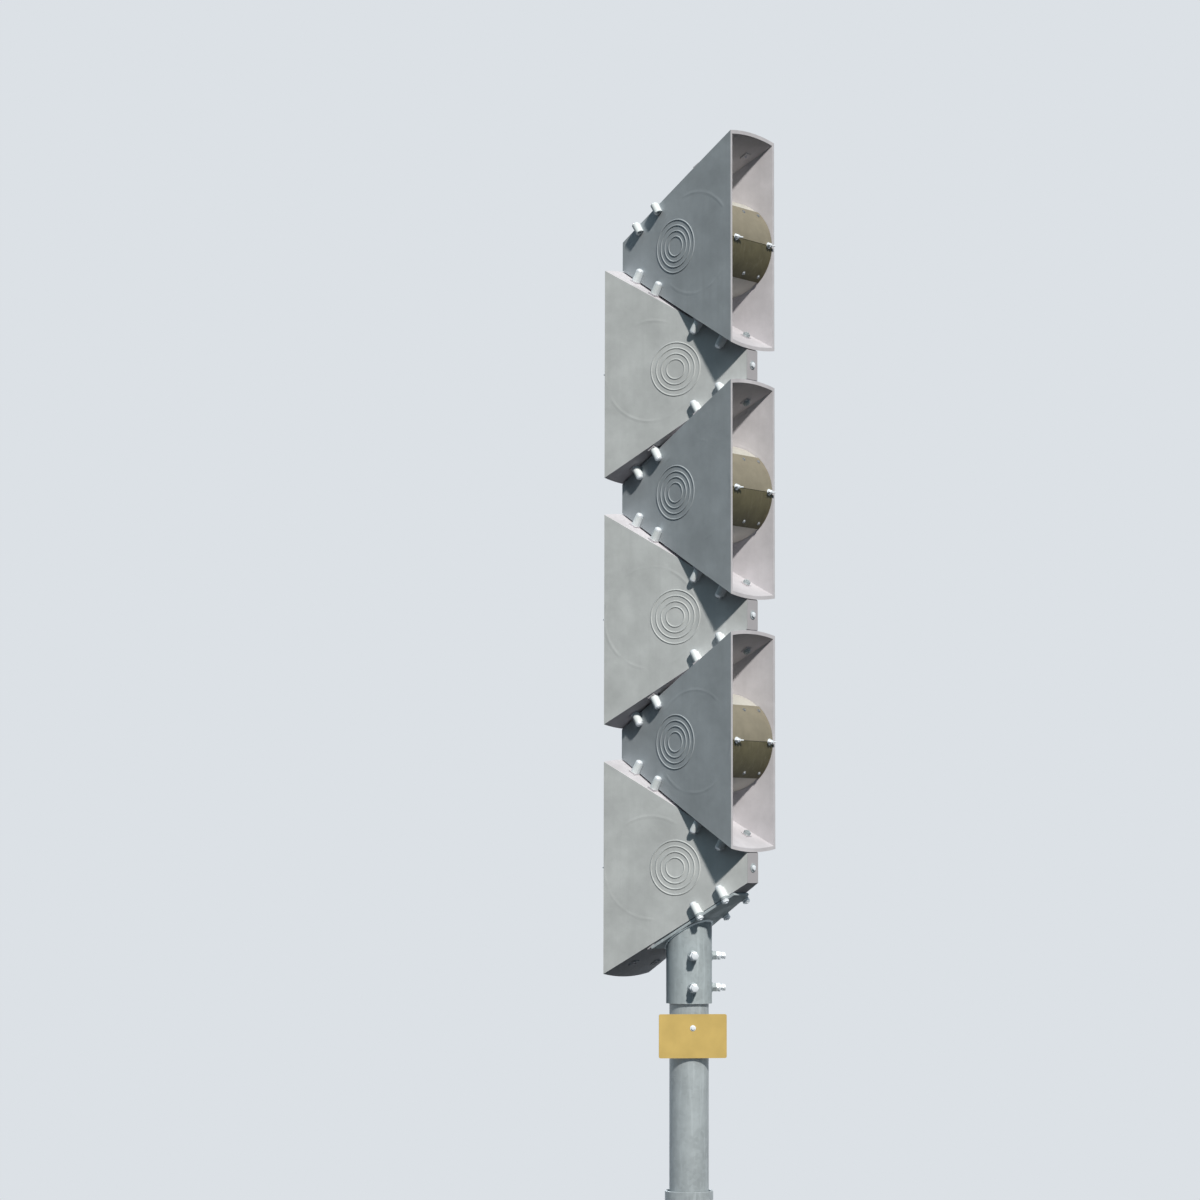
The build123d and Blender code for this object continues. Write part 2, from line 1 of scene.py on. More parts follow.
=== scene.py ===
"""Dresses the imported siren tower: finishes, fasteners, welds and cast rings, in a plain studio.

Metres, +Z up, in the tower's own frame. The horns with odd numbers, counted from the top, have their
mouths towards +X, the others towards -X.
"""

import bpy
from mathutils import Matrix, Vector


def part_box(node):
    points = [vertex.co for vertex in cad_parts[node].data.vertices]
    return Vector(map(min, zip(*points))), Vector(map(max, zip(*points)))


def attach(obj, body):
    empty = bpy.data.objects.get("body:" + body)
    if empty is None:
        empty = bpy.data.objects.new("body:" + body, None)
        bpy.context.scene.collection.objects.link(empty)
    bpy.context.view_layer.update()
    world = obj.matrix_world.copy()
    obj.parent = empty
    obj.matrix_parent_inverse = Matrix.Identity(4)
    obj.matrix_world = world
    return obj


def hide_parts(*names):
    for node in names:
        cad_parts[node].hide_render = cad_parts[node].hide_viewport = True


bl_info = {
    "name": "Siren Tower",
    "version": (1, 0, 0),
    "blender": (4, 5, 0),
    "location": "3D View > Sidebar > Siren Tower",
    "description": "Finishes, fasteners and welds of a siren tower, and a plain studio round it",
    "category": "Object",
}

from math import asin, atan, cos, degrees, pi, radians, sin, sqrt, tan

import bmesh
import bpy
from bpy.props import FloatProperty, FloatVectorProperty, PointerProperty
from mathutils import Matrix, Vector

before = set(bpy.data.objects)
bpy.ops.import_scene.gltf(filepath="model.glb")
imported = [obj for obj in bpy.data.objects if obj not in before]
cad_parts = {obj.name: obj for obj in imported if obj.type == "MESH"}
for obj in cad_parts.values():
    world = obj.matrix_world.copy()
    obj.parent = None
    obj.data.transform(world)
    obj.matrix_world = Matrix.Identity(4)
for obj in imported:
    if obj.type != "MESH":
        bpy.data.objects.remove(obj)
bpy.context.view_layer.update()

# One millimetre, for patterns and small profiles
MM = 0.001

# Gap between pieces that rest on each other
CONTACT = 0.1 * MM

# Castings, counted from the top
HORNS = range(1, 7)
TOP_HORN, LOWEST_HORN = HORNS[0], HORNS[-1]
HORN_LENGTH = 0.452
AXIS_FROM_REAR = 0.225
REAR_WIDTH = 0.054
MOUTH_WIDTH = 0.225
REAR_APEX = 0.0433
SIDE_SLOPE = (MOUTH_WIDTH - REAR_WIDTH) / 2 / HORN_LENGTH
LUG_STATIONS = (-0.159, -0.080)
LUG_SIDE_GAP = 0.0133
LUG_LENGTH = 0.030
PAD_DEPTH = 0.015
RINGS = 4

# Drums, their covers' screws and the studs of the wing nuts
DRUM_RADIUS = 0.149
DRUM_X = 0.077
STUD_Y = 0.0835
COVER_SCREW_ANGLES = (-37.5, 37.5)
COVER_SCREW_ROW = (-0.075, 0, 0.075)

# Sleeve and pole: tube, rows of clamp screws from its open end, and their angles
SLEEVE_RADIUS = 0.0665
SLEEVE_ROWS = (0.046, 0.138)
SLEEVE_SCREW_ANGLES = (-45, 45)
POLE_ROWS = (0.070, 0.380)
POLE_SCREW_ANGLES = (0, 120, 240)

# Way that the notice plate looks, turned from +X
NOTICE_ANGLE = radians(-45)

# Clamp screws. The weld nut's height counts from the tube's wall, and how far the screw reaches
# inside from there too. The other heights count from the weld nut's outer end.
WELD_NUT_RADIUS = 0.0135
WELD_NUT_HEIGHT = 0.013
LOCK_NUT_FLATS = 0.024
LOCK_NUT_HEIGHT = 0.012
SCREW_HEAD_FLATS = 0.019
SCREW_HEAD_LOW = 0.017
SCREW_HEAD_HIGH = 0.027
SCREW_INSIDE = 0.004

# Gussets of the foot
GUSSET_REACH = 0.095
GUSSET_HEIGHT = 0.168
GUSSET_HALF_THICKNESS = 0.005

# Weld beads: how far they stand off a tube or a plate, and how much of their radius they swell by
BEAD_OFF = 1 * MM
BEAD_SWELL = 0.14


def horn_height(number):
    """Height of a horn's own axis above the ground."""
    low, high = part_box(f"horn_{number}")
    return (low.z + high.z) / 2


def half_width(x):
    """Half the outer width of a casting at x along its own axis."""
    return REAR_WIDTH / 2 + (x + AXIS_FROM_REAR) * SIDE_SLOPE


# From the frame: the castings' pitch and slope, where their seats lie, and the pole
HORN_LOW, HORN_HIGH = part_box("horn_1")
POLE_LOW, POLE_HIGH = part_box("pole")
PITCH = horn_height(1) - horn_height(2)
SLOPE = atan(((HORN_HIGH.z - HORN_LOW.z) / 2 - REAR_APEX) / HORN_LENGTH)
SLOPE_NORMAL = Vector((-sin(SLOPE), 0, cos(SLOPE)))
SEAT_ON_AXIS = (PITCH - CONTACT / cos(SLOPE)) / 2
HEAD_CENTRE = (horn_height(3) + horn_height(4)) / 2
POLE_RADIUS = (POLE_HIGH.x - POLE_LOW.x) / 2


def linear(code):
    """Linear colour of an sRGB hex code."""
    values = [int(code[i : i + 2], 16) / 255 for i in (0, 2, 4)]
    return tuple(v / 12.92 if v <= 0.04045 else ((v + 0.055) / 1.055) ** 2.4 for v in values)


def colour(name, description, code):
    """A colour that the panel shows, with its default as an sRGB hex code."""
    return FloatVectorProperty(
        name=name, description=description, default=linear(code), min=0, max=1, size=3, subtype="COLOR"
    )


def length(name, description, default):
    """A length that the panel shows, in metres."""
    return FloatProperty(
        name=name, description=description, default=default, min=0, subtype="DISTANCE", unit="LENGTH"
    )


class SirenSizes(bpy.types.PropertyGroup):
    """Sizes of the fasteners, the bracket plate, the welds and the cast rings."""

    bolt_diameter: length("Bolt", "Thread diameter of the bolts between the castings", 0.010)
    bolt_flats: length("Hexagon", "Width across flats of those bolts' nuts", 0.0185)
    bolt_cap: length("Bolt cap", "Height of the domed cap over a bolt's head", 0.0105)
    bolt_nut: length("Nut", "Height of a nut", 0.0085)
    bolt_end: length("Bolt end", "How far a bolt stands out of its nut", 0.003)
    thread_pitch: length("Thread pitch", "Distance from one thread to the next, drawn coarse", 0.0018)
    flange: length("Flange", "Diameter of the caps and of the nuts' flanges", 0.0218)
    flange_height: length("Flange height", "Height of a flange where it runs into the hexagon", 0.0028)
    blind_plug: length("Lug plug", "Height of the plugs that close the unused lugs on top", 0.004)
    clamp_diameter: length("Clamp screw", "Thread diameter of the screws that clamp a tube", 0.016)
    plate_edge: length("Plate edge", "How far the bracket plate stands out beside the casting", 0.002)
    plate_ear: length("Plate ear", "Radius of the plate's ear round each bolt", 0.0105)
    weld_bead: length("Weld bead", "Radius of the weld beads on plates", 0.0035)
    pole_bead: length("Pole bead", "Radius of the weld bead round the pole's foot", 0.005)
    nut_bead: length("Nut bead", "Radius of the weld bead round a weld nut", 0.0022)
    ring_radius: length("Cast ring", "Radius of the inmost raised ring on each side wall", 0.029)
    ring_step: length("Ring step", "Distance from one raised ring to the next", 0.0165)
    ring_width: length("Ring width", "Width of those rings", 0.005)
    ring_height: length("Ring height", "How far they stand proud of the wall", 0.0016)


class SirenColours(bpy.types.PropertyGroup):
    """Base colours of the finishes."""

    casting: colour("Castings", "Light grey paint of the horns", "C6CBCD")
    drum: colour("Drums", "Cream grey paint of the driver housings", "C9C6BE")
    # The lower covers are drawn darker than the upper ones
    upper_cover: colour("Upper covers", "Bleached olive of the upper laminate covers", "8B8474")
    lower_cover: colour("Lower covers", "Deeper olive of the lower laminate covers", "605B46")
    zinc: colour("Fasteners", "Blue-passivated zinc of bolts and nuts", "EDF2F8")
    galvanised: colour("Tubes", "Hot-dip galvanised tubes and plates", "AAB1B4")
    patina: colour("Bracket", "Galvanised bracket and sleeve under a grey patina", "A9B2B6")
    notice: colour("Notice plate", "Ochre enamel of the bare plate", "CBAE66")
    floor: colour("Floor", "Pale floor", "CDD1D4")
    sky: colour("Background", "Pale background behind the object", "DCE1E6")


class StudioSettings(bpy.types.PropertyGroup):
    """Lamps and lens."""

    key: FloatProperty(name="Key", description="Strength of the key lamp", default=3.65, min=0)
    key_angle: FloatProperty(
        name="Key size", description="Angle that the key lamp fills", default=radians(3), subtype="ANGLE"
    )
    back: FloatProperty(name="Back", description="Strength of the lamp opposite the key", default=1.7, min=0)
    fill: FloatProperty(name="Fill", description="Strength of the sky's light", default=0.30, min=0)
    lens: FloatProperty(
        name="Lens", description="Focal length", default=99.59, min=1, subtype="DISTANCE_CAMERA"
    )


def sizes():
    """The sizes that the panel shows."""
    return bpy.context.scene.siren_sizes


def colours():
    """The colours that the panel shows."""
    return bpy.context.scene.siren_colours


# Finishes

# A Mix node for colours has its share at input 0, its colours at 6 and 7, and its result at output 2
SHARE, UNDER, OVER, MIXED = 0, 6, 7, 2


def feed(tree, node, inputs):
    """Sets inputs of a node, each to a value or to another node's output."""
    for socket, value in inputs.items():
        if isinstance(value, bpy.types.NodeSocket):
            tree.links.new(value, node.inputs[socket])
        else:
            node.inputs[socket].default_value = value


def add(tree, kind, inputs=None, output=0, **settings):
    """Adds a shader node with its inputs and settings, and gives the output of this name or number."""
    node = tree.nodes.new(kind)
    for name, value in settings.items():
        setattr(node, name, value)
    feed(tree, node, inputs or {})
    return node.outputs[output]


def new_material(name):
    """An empty material, its Principled shader and the object's own coordinates."""
    material = bpy.data.materials.new(name)
    material.use_nodes = True
    tree = material.node_tree
    place = add(tree, "ShaderNodeTexCoord", output="Object")
    return material, tree, tree.nodes["Principled BSDF"], place


def shade(base, factor=1.0):
    """A colour made darker or lighter, as a shader takes it."""
    return (*[v * factor for v in base], 1)


def layer(tree, under, over, pattern, low, high, most=1.0, blend="MIX"):
    """Colour that goes from under to over as a pattern goes from low to high, by a share of most."""
    rise = {"Value": pattern, "From Min": low, "From Max": high, "To Max": most}
    inputs = {SHARE: add(tree, "ShaderNodeMapRange", rise), UNDER: under, OVER: over}
    return add(tree, "ShaderNodeMix", inputs, MIXED, data_type="RGBA", blend_type=blend)


def height_above(tree, place, level, reach):
    """Height above a level, from -reach to reach, which starts again beyond that all the way up."""
    height = add(tree, "ShaderNodeSeparateXYZ", {"Vector": place}, "Z")
    above = add(tree, "ShaderNodeMath", {0: height, 1: level}, operation="SUBTRACT")
    return add(tree, "ShaderNodeMath", {0: above, 1: reach, 2: -reach}, operation="WRAP")


def flange_print(tree, place, x, mouth_sign, axis_height):
    """Ridge that fades over 7 mm to either side of the drum's outline, and is worn away in places."""
    across = add(tree, "ShaderNodeMath", {0: x, 1: mouth_sign * DRUM_X}, operation="SUBTRACT")
    upwards = height_above(tree, place, axis_height, PITCH)
    flat = add(tree, "ShaderNodeCombineXYZ", {"X": across, "Y": upwards})
    radius = add(tree, "ShaderNodeVectorMath", {0: flat}, "Value", operation="LENGTH")
    off = add(tree, "ShaderNodeMath", {0: radius, 1: DRUM_RADIUS}, operation="SUBTRACT")
    off = add(tree, "ShaderNodeMath", {0: off}, operation="ABSOLUTE")
    ridge = add(tree, "ShaderNodeMapRange", {"Value": off, "From Max": 7 * MM, "To Min": 1, "To Max": 0})

    # Worn in patches 90 mm wide
    wear = add(tree, "ShaderNodeTexNoise", {"Vector": place, "Scale": 1 / (90 * MM), "Detail": 1})
    left = add(tree, "ShaderNodeMapRange", {"Value": wear, "From Min": 0.42, "From Max": 0.62})
    return add(tree, "ShaderNodeMath", {0: ridge, 1: left}, operation="MULTIPLY")


# Painted light in the paint's colour: a warm tint inside the bells, painted shade outside on horns that look
# to +X, and a faint warm painted light outside on horns that look to -X
INSIDE_PAINTED_WARM_LIGHT = (1.05, 0.96, 0.99)
ODD_SIDE_PAINTED_SHADE = (0.72, 0.74, 0.77)
EVEN_SIDE_PAINTED_LIGHT = (1.0, 0.98, 0.965)


def casting_paint(name, mouth_sign, base, axis_height, side_painted_light):
    """Sand-cast aluminium under two coats of grey paint.

    The paint has chalked and hardly shines. It follows the grain of the sand and shows soft blotches and
    faint rain streaks. The rear walls, between the neighbouring horns' mouths, carry painted shade. The
    outside of the side walls carries painted shade, cool and dark, on the horns that look to +X, and a
    faint warm painted light on the others. Inside the bells, a warm tint is painted light for the sun's
    colour. The lugs, machined and painted last, are nearly white. The drum's flange prints a shallow
    circle through the side walls.
    """
    material, tree, shader, place = new_material(name)
    x = add(tree, "ShaderNodeSeparateXYZ", {"Vector": place}, "X")
    y = add(tree, "ShaderNodeSeparateXYZ", {"Vector": place}, "Y")

    # Blotches 110 mm wide. Rain streaks 18 mm apart and 14 times as long.
    blotch = add(
        tree, "ShaderNodeTexNoise", {"Vector": place, "Scale": 1 / (110 * MM), "Detail": 4, "Roughness": 0.6}
    )
    tall = add(tree, "ShaderNodeMapping", {"Vector": place, "Scale": (1, 1, 1 / 14)})
    streak = add(
        tree, "ShaderNodeTexNoise", {"Vector": tall, "Scale": 1 / (18 * MM), "Detail": 3, "Roughness": 0.6}
    )

    # Specks of dirt, 1 mm on the real paint, are drawn 4 mm wide so that they show
    speck = add(tree, "ShaderNodeTexNoise", {"Vector": place, "Scale": 1 / (4 * MM), "Roughness": 0.6})
    tone = layer(tree, shade(base, 0.86), shade(base, 1.08), blotch, 0.32, 0.68)
    tone = layer(tree, tone, shade(base, 0.84), streak, 0.50, 0.78, 0.35)
    tone = layer(tree, tone, shade(base, 0.80), speck, 0.60, 0.75, 0.25)
    # Painted shade: the rear walls, between the neighbouring horns' mouths, are drawn darker
    rear = -mouth_sign * AXIS_FROM_REAR
    before, at_rear = rear + mouth_sign * 1.5 * MM, rear + mouth_sign * 0.2 * MM
    tone = layer(tree, tone, shade(base, 0.74), x, before, at_rear)

    # How far a point stands out of the nearer side wall, less than 0 in the wall and inside the bell
    width = {0: x, 1: mouth_sign * SIDE_SLOPE, 2: half_width(0)}
    wall = add(tree, "ShaderNodeMath", width, operation="MULTIPLY_ADD")
    aside = add(tree, "ShaderNodeMath", {0: y}, operation="ABSOLUTE")
    proud = add(tree, "ShaderNodeMath", {0: aside, 1: wall}, operation="SUBTRACT")
    inner, outer = -1.5 * MM, -0.5 * MM
    # Painted light: a warm tint inside the bells, then this casting's tint of painted side-wall light and
    # shade on the outside of the side walls
    tone = layer(tree, tone, shade(INSIDE_PAINTED_WARM_LIGHT), proud, outer, inner, blend="MULTIPLY")
    tone = layer(tree, tone, shade(side_painted_light), proud, inner, outer, blend="MULTIPLY")
    tone = layer(tree, tone, shade(base, 1.42), proud, 3 * MM, 4 * MM)
    spread = {"Value": blotch, "From Min": 0.3, "From Max": 0.7, "To Min": 0.50, "To Max": 0.64}
    rough = add(tree, "ShaderNodeMapRange", spread)

    # The sand's grain, 0.3 mm in the casting, is drawn 2.8 mm wide so that it shows. The walls are
    # wavy every 45 mm, by four times as much.
    grain = add(
        tree, "ShaderNodeTexNoise", {"Vector": place, "Scale": 1 / (2.8 * MM), "Detail": 3, "Roughness": 0.65}
    )
    wave = add(tree, "ShaderNodeTexNoise", {"Vector": place, "Scale": 1 / (45 * MM)})
    height = add(tree, "ShaderNodeMath", {0: wave, 1: 4.0, 2: grain}, operation="MULTIPLY_ADD")
    ridge = flange_print(tree, place, x, mouth_sign, axis_height)
    height = add(tree, "ShaderNodeMath", {0: ridge, 1: 3.0, 2: height}, operation="MULTIPLY_ADD")
    bump = add(tree, "ShaderNodeBump", {"Height": height, "Strength": 0.28, "Distance": 0.6 * MM})
    look = {"Base Color": tone, "Roughness": rough, "Specular IOR Level": 0.06, "Normal": bump}
    feed(tree, shader, look)
    return material


def drum_paint(base):
    """Powder coat on the spun steel drum: smooth and even, under clouds of dust 50 mm wide."""
    material, tree, shader, place = new_material("drum_powder_coat")
    dust = add(
        tree, "ShaderNodeTexNoise", {"Vector": place, "Scale": 1 / (50 * MM), "Detail": 4, "Roughness": 0.6}
    )

    # The coat's orange peel, 1 mm wide, is drawn 3 mm wide so that it shows
    peel = add(tree, "ShaderNodeTexNoise", {"Vector": place, "Scale": 1 / (3 * MM)})
    bump = add(tree, "ShaderNodeBump", {"Height": peel, "Strength": 0.15, "Distance": 0.3 * MM})
    tone = layer(tree, shade(base, 0.92), shade(base, 1.03), dust, 0.35, 0.7)
    feed(tree, shader, {"Base Color": tone, "Roughness": 0.48, "Normal": bump})
    return material


def cover_laminate(upper_base, lower_base, axis_height):
    """Glass-fibre laminate, matt olive, bleached in spots; the lower covers are drawn darker than the upper.
    """
    material, tree, shader, place = new_material("cover_laminate")
    above = height_above(tree, place, axis_height, PITCH / 2)
    bleach = add(
        tree, "ShaderNodeTexNoise", {"Vector": place, "Scale": 1 / (35 * MM), "Detail": 4, "Roughness": 0.6}
    )
    tall = add(tree, "ShaderNodeMapping", {"Vector": place, "Scale": (1, 1, 1 / 9)})
    run = add(
        tree, "ShaderNodeTexNoise", {"Vector": tall, "Scale": 1 / (10 * MM), "Detail": 3, "Roughness": 0.6}
    )
    light = layer(tree, shade(upper_base, 0.93), shade(upper_base, 1.08), bleach, 0.35, 0.7)
    deep = layer(tree, shade(lower_base, 0.85), shade(lower_base, 1.12), bleach, 0.35, 0.7)
    tone = layer(tree, deep, light, above, -0.5 * MM, 0.5 * MM)
    tone = layer(tree, tone, shade(upper_base, 1.15), run, 0.55, 0.8, 0.3)

    # Glass rovings 2.2 mm wide
    weave = add(tree, "ShaderNodeTexNoise", {"Vector": place, "Scale": 1 / (2.2 * MM)})
    bump = add(tree, "ShaderNodeBump", {"Height": weave, "Strength": 0.2, "Distance": 0.3 * MM})
    look = {"Base Color": tone, "Roughness": 0.5, "Specular IOR Level": 0.15, "Normal": bump}
    feed(tree, shader, look)
    return material


def galvanised_steel(name, base, metallic, rough):
    """Hot-dip galvanised steel: dull zinc with faint spangle, runs of brighter zinc down its length.

    The thicker its grey patina has grown, the rougher and the less metallic it looks.
    """
    material, tree, shader, place = new_material(name)

    # Crystals 11 mm wide. Runs 14 mm apart and 12 times as long. Clouds of patina 90 mm wide.
    crystal = add(tree, "ShaderNodeTexVoronoi", {"Vector": place, "Scale": 1 / (11 * MM)}, "Color")
    spangle = add(tree, "ShaderNodeSeparateColor", {"Color": crystal})
    tall = add(tree, "ShaderNodeMapping", {"Vector": place, "Scale": (1, 1, 1 / 12)})
    run = add(
        tree, "ShaderNodeTexNoise", {"Vector": tall, "Scale": 1 / (14 * MM), "Detail": 4, "Roughness": 0.62}
    )
    cloud = add(
        tree, "ShaderNodeTexNoise", {"Vector": place, "Scale": 1 / (90 * MM), "Detail": 4, "Roughness": 0.6}
    )
    tone = layer(tree, shade(base, 0.80), shade(base, 1.04), cloud, 0.35, 0.68)
    tone = layer(tree, tone, shade(base, 1.35), spangle, 0.0, 1.0, 0.25)
    tone = layer(tree, tone, shade(base, 1.38), run, 0.50, 0.72, 0.55)
    spread = {"Value": cloud, "From Min": 0.3, "From Max": 0.7, "To Min": rough, "To Max": rough + 0.10}
    roughness = add(tree, "ShaderNodeMapRange", spread)

    # Drops and dross of the zinc bath, 6 mm wide
    dross = add(tree, "ShaderNodeTexNoise", {"Vector": place, "Scale": 1 / (6 * MM), "Detail": 3})
    height = add(tree, "ShaderNodeMath", {0: dross, 1: 0.6, 2: run}, operation="MULTIPLY_ADD")
    bump = add(tree, "ShaderNodeBump", {"Height": height, "Strength": 0.22, "Distance": 0.5 * MM})
    feed(tree, shader, {"Base Color": tone, "Metallic": metallic, "Roughness": roughness})
    feed(tree, shader, {"Specular IOR Level": 0.25, "Normal": bump})
    return material


def zinc_plate(base):
    """Zinc-plated steel fasteners: bright and smooth, with a few duller spots 5 mm wide."""
    material, tree, shader, place = new_material("zinc_plated_steel")
    spot = add(
        tree, "ShaderNodeTexNoise", {"Vector": place, "Scale": 1 / (5 * MM), "Detail": 3, "Roughness": 0.6}
    )
    tone = layer(tree, shade(base), shade(base, 0.80), spot, 0.45, 0.75)
    spread = {"Value": spot, "From Min": 0.4, "From Max": 0.7, "To Min": 0.30, "To Max": 0.44}
    rough = add(tree, "ShaderNodeMapRange", spread)
    feed(tree, shader, {"Base Color": tone, "Metallic": 0.15, "Roughness": rough})
    return material


def weathered_zinc(base):
    """Small zinc-plated screws gone dull: grey-brown film over zinc, in patches 4 mm wide."""
    material, tree, shader, place = new_material("weathered_zinc")
    film = add(
        tree, "ShaderNodeTexNoise", {"Vector": place, "Scale": 1 / (4 * MM), "Detail": 3, "Roughness": 0.6}
    )
    tone = layer(tree, shade(base, 0.24), shade(base, 0.42), film, 0.35, 0.7)
    feed(tree, shader, {"Base Color": tone, "Metallic": 0.6, "Roughness": 0.5})
    return material


def weld_metal(base):
    """Weld beads, galvanised over: the same zinc, rougher, with the 3.5 mm ripple of the passes."""
    material, tree, shader, place = new_material("galvanised_weld")
    ripple = add(tree, "ShaderNodeTexNoise", {"Vector": place, "Scale": 1 / (3.5 * MM), "Roughness": 0.6})
    tone = layer(tree, shade(base, 0.78), shade(base, 1.05), ripple, 0.35, 0.7)
    bump = add(tree, "ShaderNodeBump", {"Height": ripple, "Strength": 0.5, "Distance": 0.8 * MM})
    feed(tree, shader, {"Base Color": tone, "Metallic": 0.5, "Roughness": 0.5, "Normal": bump})
    return material


def notice_enamel(base):
    """Ochre enamel on aluminium sheet, left bare: satin, sun-bleached in patches 60 mm wide."""
    material, tree, shader, place = new_material("ochre_enamel")
    fade = add(
        tree, "ShaderNodeTexNoise", {"Vector": place, "Scale": 1 / (60 * MM), "Detail": 3, "Roughness": 0.55}
    )

    # Road dust, finer than 1 mm, is drawn 6 mm wide so that it shows
    dust = add(
        tree, "ShaderNodeTexNoise", {"Vector": place, "Scale": 1 / (6 * MM), "Detail": 3, "Roughness": 0.6}
    )
    tone = layer(tree, shade(base, 0.94), shade(base, 1.06), fade, 0.35, 0.7)
    tone = layer(tree, tone, shade(base, 0.78), dust, 0.62, 0.8, 0.3)
    spread = {"Value": fade, "From Min": 0.3, "From Max": 0.7, "To Min": 0.36, "To Max": 0.5}
    rough = add(tree, "ShaderNodeMapRange", spread)
    feed(tree, shader, {"Base Color": tone, "Roughness": rough})
    return material


FINISHES = {}


def finish(name):
    """The material of this name. All of them are made when the first is asked for."""
    if not FINISHES:
        c = colours()
        FINISHES.update(
            odd_casting=casting_paint("cast_grey_paint_right", 1, c.casting, horn_height(3), ODD_SIDE_PAINTED_SHADE),
            even_casting=casting_paint("cast_grey_paint_left", -1, c.casting, horn_height(4), EVEN_SIDE_PAINTED_LIGHT),
            drum=drum_paint(c.drum),
            cover=cover_laminate(c.upper_cover, c.lower_cover, horn_height(4)),
            galvanised=galvanised_steel("galvanised_steel", c.galvanised, 0.25, 0.34),
            patina=galvanised_steel("galvanised_steel_with_patina", c.patina, 0.03, 0.54),
            zinc=zinc_plate(c.zinc),
            dull=weathered_zinc(c.zinc),
            weld=weld_metal(c.patina),
            notice=notice_enamel(c.notice),
        )
    return FINISHES[name]


def dress(node, name):
    """Gives a node of the frame its finish."""
    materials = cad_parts[node].data.materials
    materials.clear()
    materials.append(finish(name))


# Shapes


def horn_matrix(number):
    """From a horn's own axes to the tower's."""
    turn = Matrix.Rotation(0 if number % 2 else pi, 4, "Z")
    return Matrix.Translation((0, 0, horn_height(number))) @ turn


def axes(origin, x, z):
    """Matrix of a place with this origin, X and Z."""
    x, z = Vector(x).normalized(), Vector(z).normalized()
    turn = Matrix((x, z.cross(x), z)).transposed().to_4x4()
    return Matrix.Translation(origin) @ turn


def lug_places(upper):
    """The four lugs above or below a horn's axis: origin on the seat, Z out of the casting."""
    sign = 1 if upper else -1
    places = []
    for x in LUG_STATIONS:
        for side in (-1, 1):
            origin = (x, side * (half_width(x) + LUG_SIDE_GAP), sign * (SEAT_ON_AXIS + x * tan(SLOPE)))
            along = (cos(SLOPE), 0, sign * sin(SLOPE))
            places.append(axes(origin, along, (-sin(SLOPE), 0, sign * cos(SLOPE))))
    return places


def screw_places(heights, angles):
    """Places on the Z axis at these heights, with X turned to these angles in degrees."""
    return [
        Matrix.Translation((0, 0, height)) @ Matrix.Rotation(radians(angle), 4, "Z")
        for height in heights
        for angle in angles
    ]


def on_slope(node):
    """Least and greatest reach of a node along the slope's normal."""
    reach = [v.co.dot(SLOPE_NORMAL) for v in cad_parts[node].data.vertices]
    return min(reach), max(reach)


def piece_from(bm, name, material, angle=32):
    """Turns a finished bmesh into a piece of the tower, smooth except at edges over this angle."""
    mesh = bpy.data.meshes.new(name)
    bm.to_mesh(mesh)
    bm.free()
    mesh.materials.append(finish(material))
    mesh.polygons.foreach_set("use_smooth", [True] * len(mesh.polygons))
    mesh.set_sharp_from_angle(angle=radians(angle))
    piece = bpy.data.objects.new(name, mesh)
    bpy.context.scene.collection.objects.link(piece)
    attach(piece, "root")
    return piece


def copies(source, places):
    """One bmesh with a copy of source at each place. The source is freed."""
    mesh = bpy.data.meshes.new("pattern")
    source.to_mesh(mesh)
    source.free()
    bm = bmesh.new()
    for place in places:
        start = len(bm.verts)
        bm.from_mesh(mesh)
        bm.verts.ensure_lookup_table()
        bmesh.ops.transform(bm, matrix=place, verts=bm.verts[start:])
    bpy.data.meshes.remove(mesh)
    return bm


def joined(parts):
    """One bmesh from several, which are freed."""
    bm = bmesh.new()
    for part in parts:
        mesh = bpy.data.meshes.new("part")
        part.to_mesh(mesh)
        part.free()
        bm.from_mesh(mesh)
        bpy.data.meshes.remove(mesh)
    return bm


def turned(profile, steps=24):
    """A solid of revolution about Z from (radius, height) points, closed where they touch the axis."""
    bm = bmesh.new()
    verts = [bm.verts.new((r, 0, z)) for r, z in profile]
    edges = [bm.edges.new(pair) for pair in zip(verts, verts[1:])]
    bmesh.ops.spin(
        bm, geom=verts + edges, axis=(0, 0, 1), cent=(0, 0, 0), angle=2 * pi, steps=steps, use_merge=True
    )
    bmesh.ops.remove_doubles(bm, verts=bm.verts, dist=1e-6)
    bmesh.ops.recalc_face_normals(bm, faces=bm.faces)
    return bm


def turned_mm(profile, steps=24):
    """A solid of revolution whose profile is in millimetres."""
    return turned([(r * MM, z * MM) for r, z in profile], steps)


def hexagon(flats, low, high):
    """Hexagon head or nut from one height to another, its corners taken off at the outer end."""
    bm = bmesh.new()
    corner = flats / sqrt(3)
    middle = (low + high) / 2
    bmesh.ops.create_cone(bm, cap_ends=True, segments=6, radius1=corner, radius2=corner, depth=high - low)
    bmesh.ops.translate(bm, vec=(0, 0, middle), verts=bm.verts)
    outer = [v for v in bm.verts if v.co.z > middle]
    bmesh.ops.bevel(
        bm, geom=outer, offset=0.10 * flats, affect="VERTICES", segments=2, profile=0.5, material=-1
    )
    rim = [e for e in bm.edges if all(abs(v.co.z - high) < 1e-6 for v in e.verts)]
    bmesh.ops.bevel(bm, geom=rim, offset=0.02 * flats, affect="EDGES", segments=1, profile=0.5, material=-1)
    return bm


def thread_profile(radius, low, high, pitch):
    """Points of a threaded end, from its start to its chamfered tip on the axis."""
    points, z = [(radius, low)], low
    while z + pitch < high - pitch:
        points += [(radius * 0.90, z + pitch / 2), (radius, z + pitch)]
        z += pitch
    return points + [(radius, high - pitch * 0.8), (radius * 0.84, high), (0, high)]


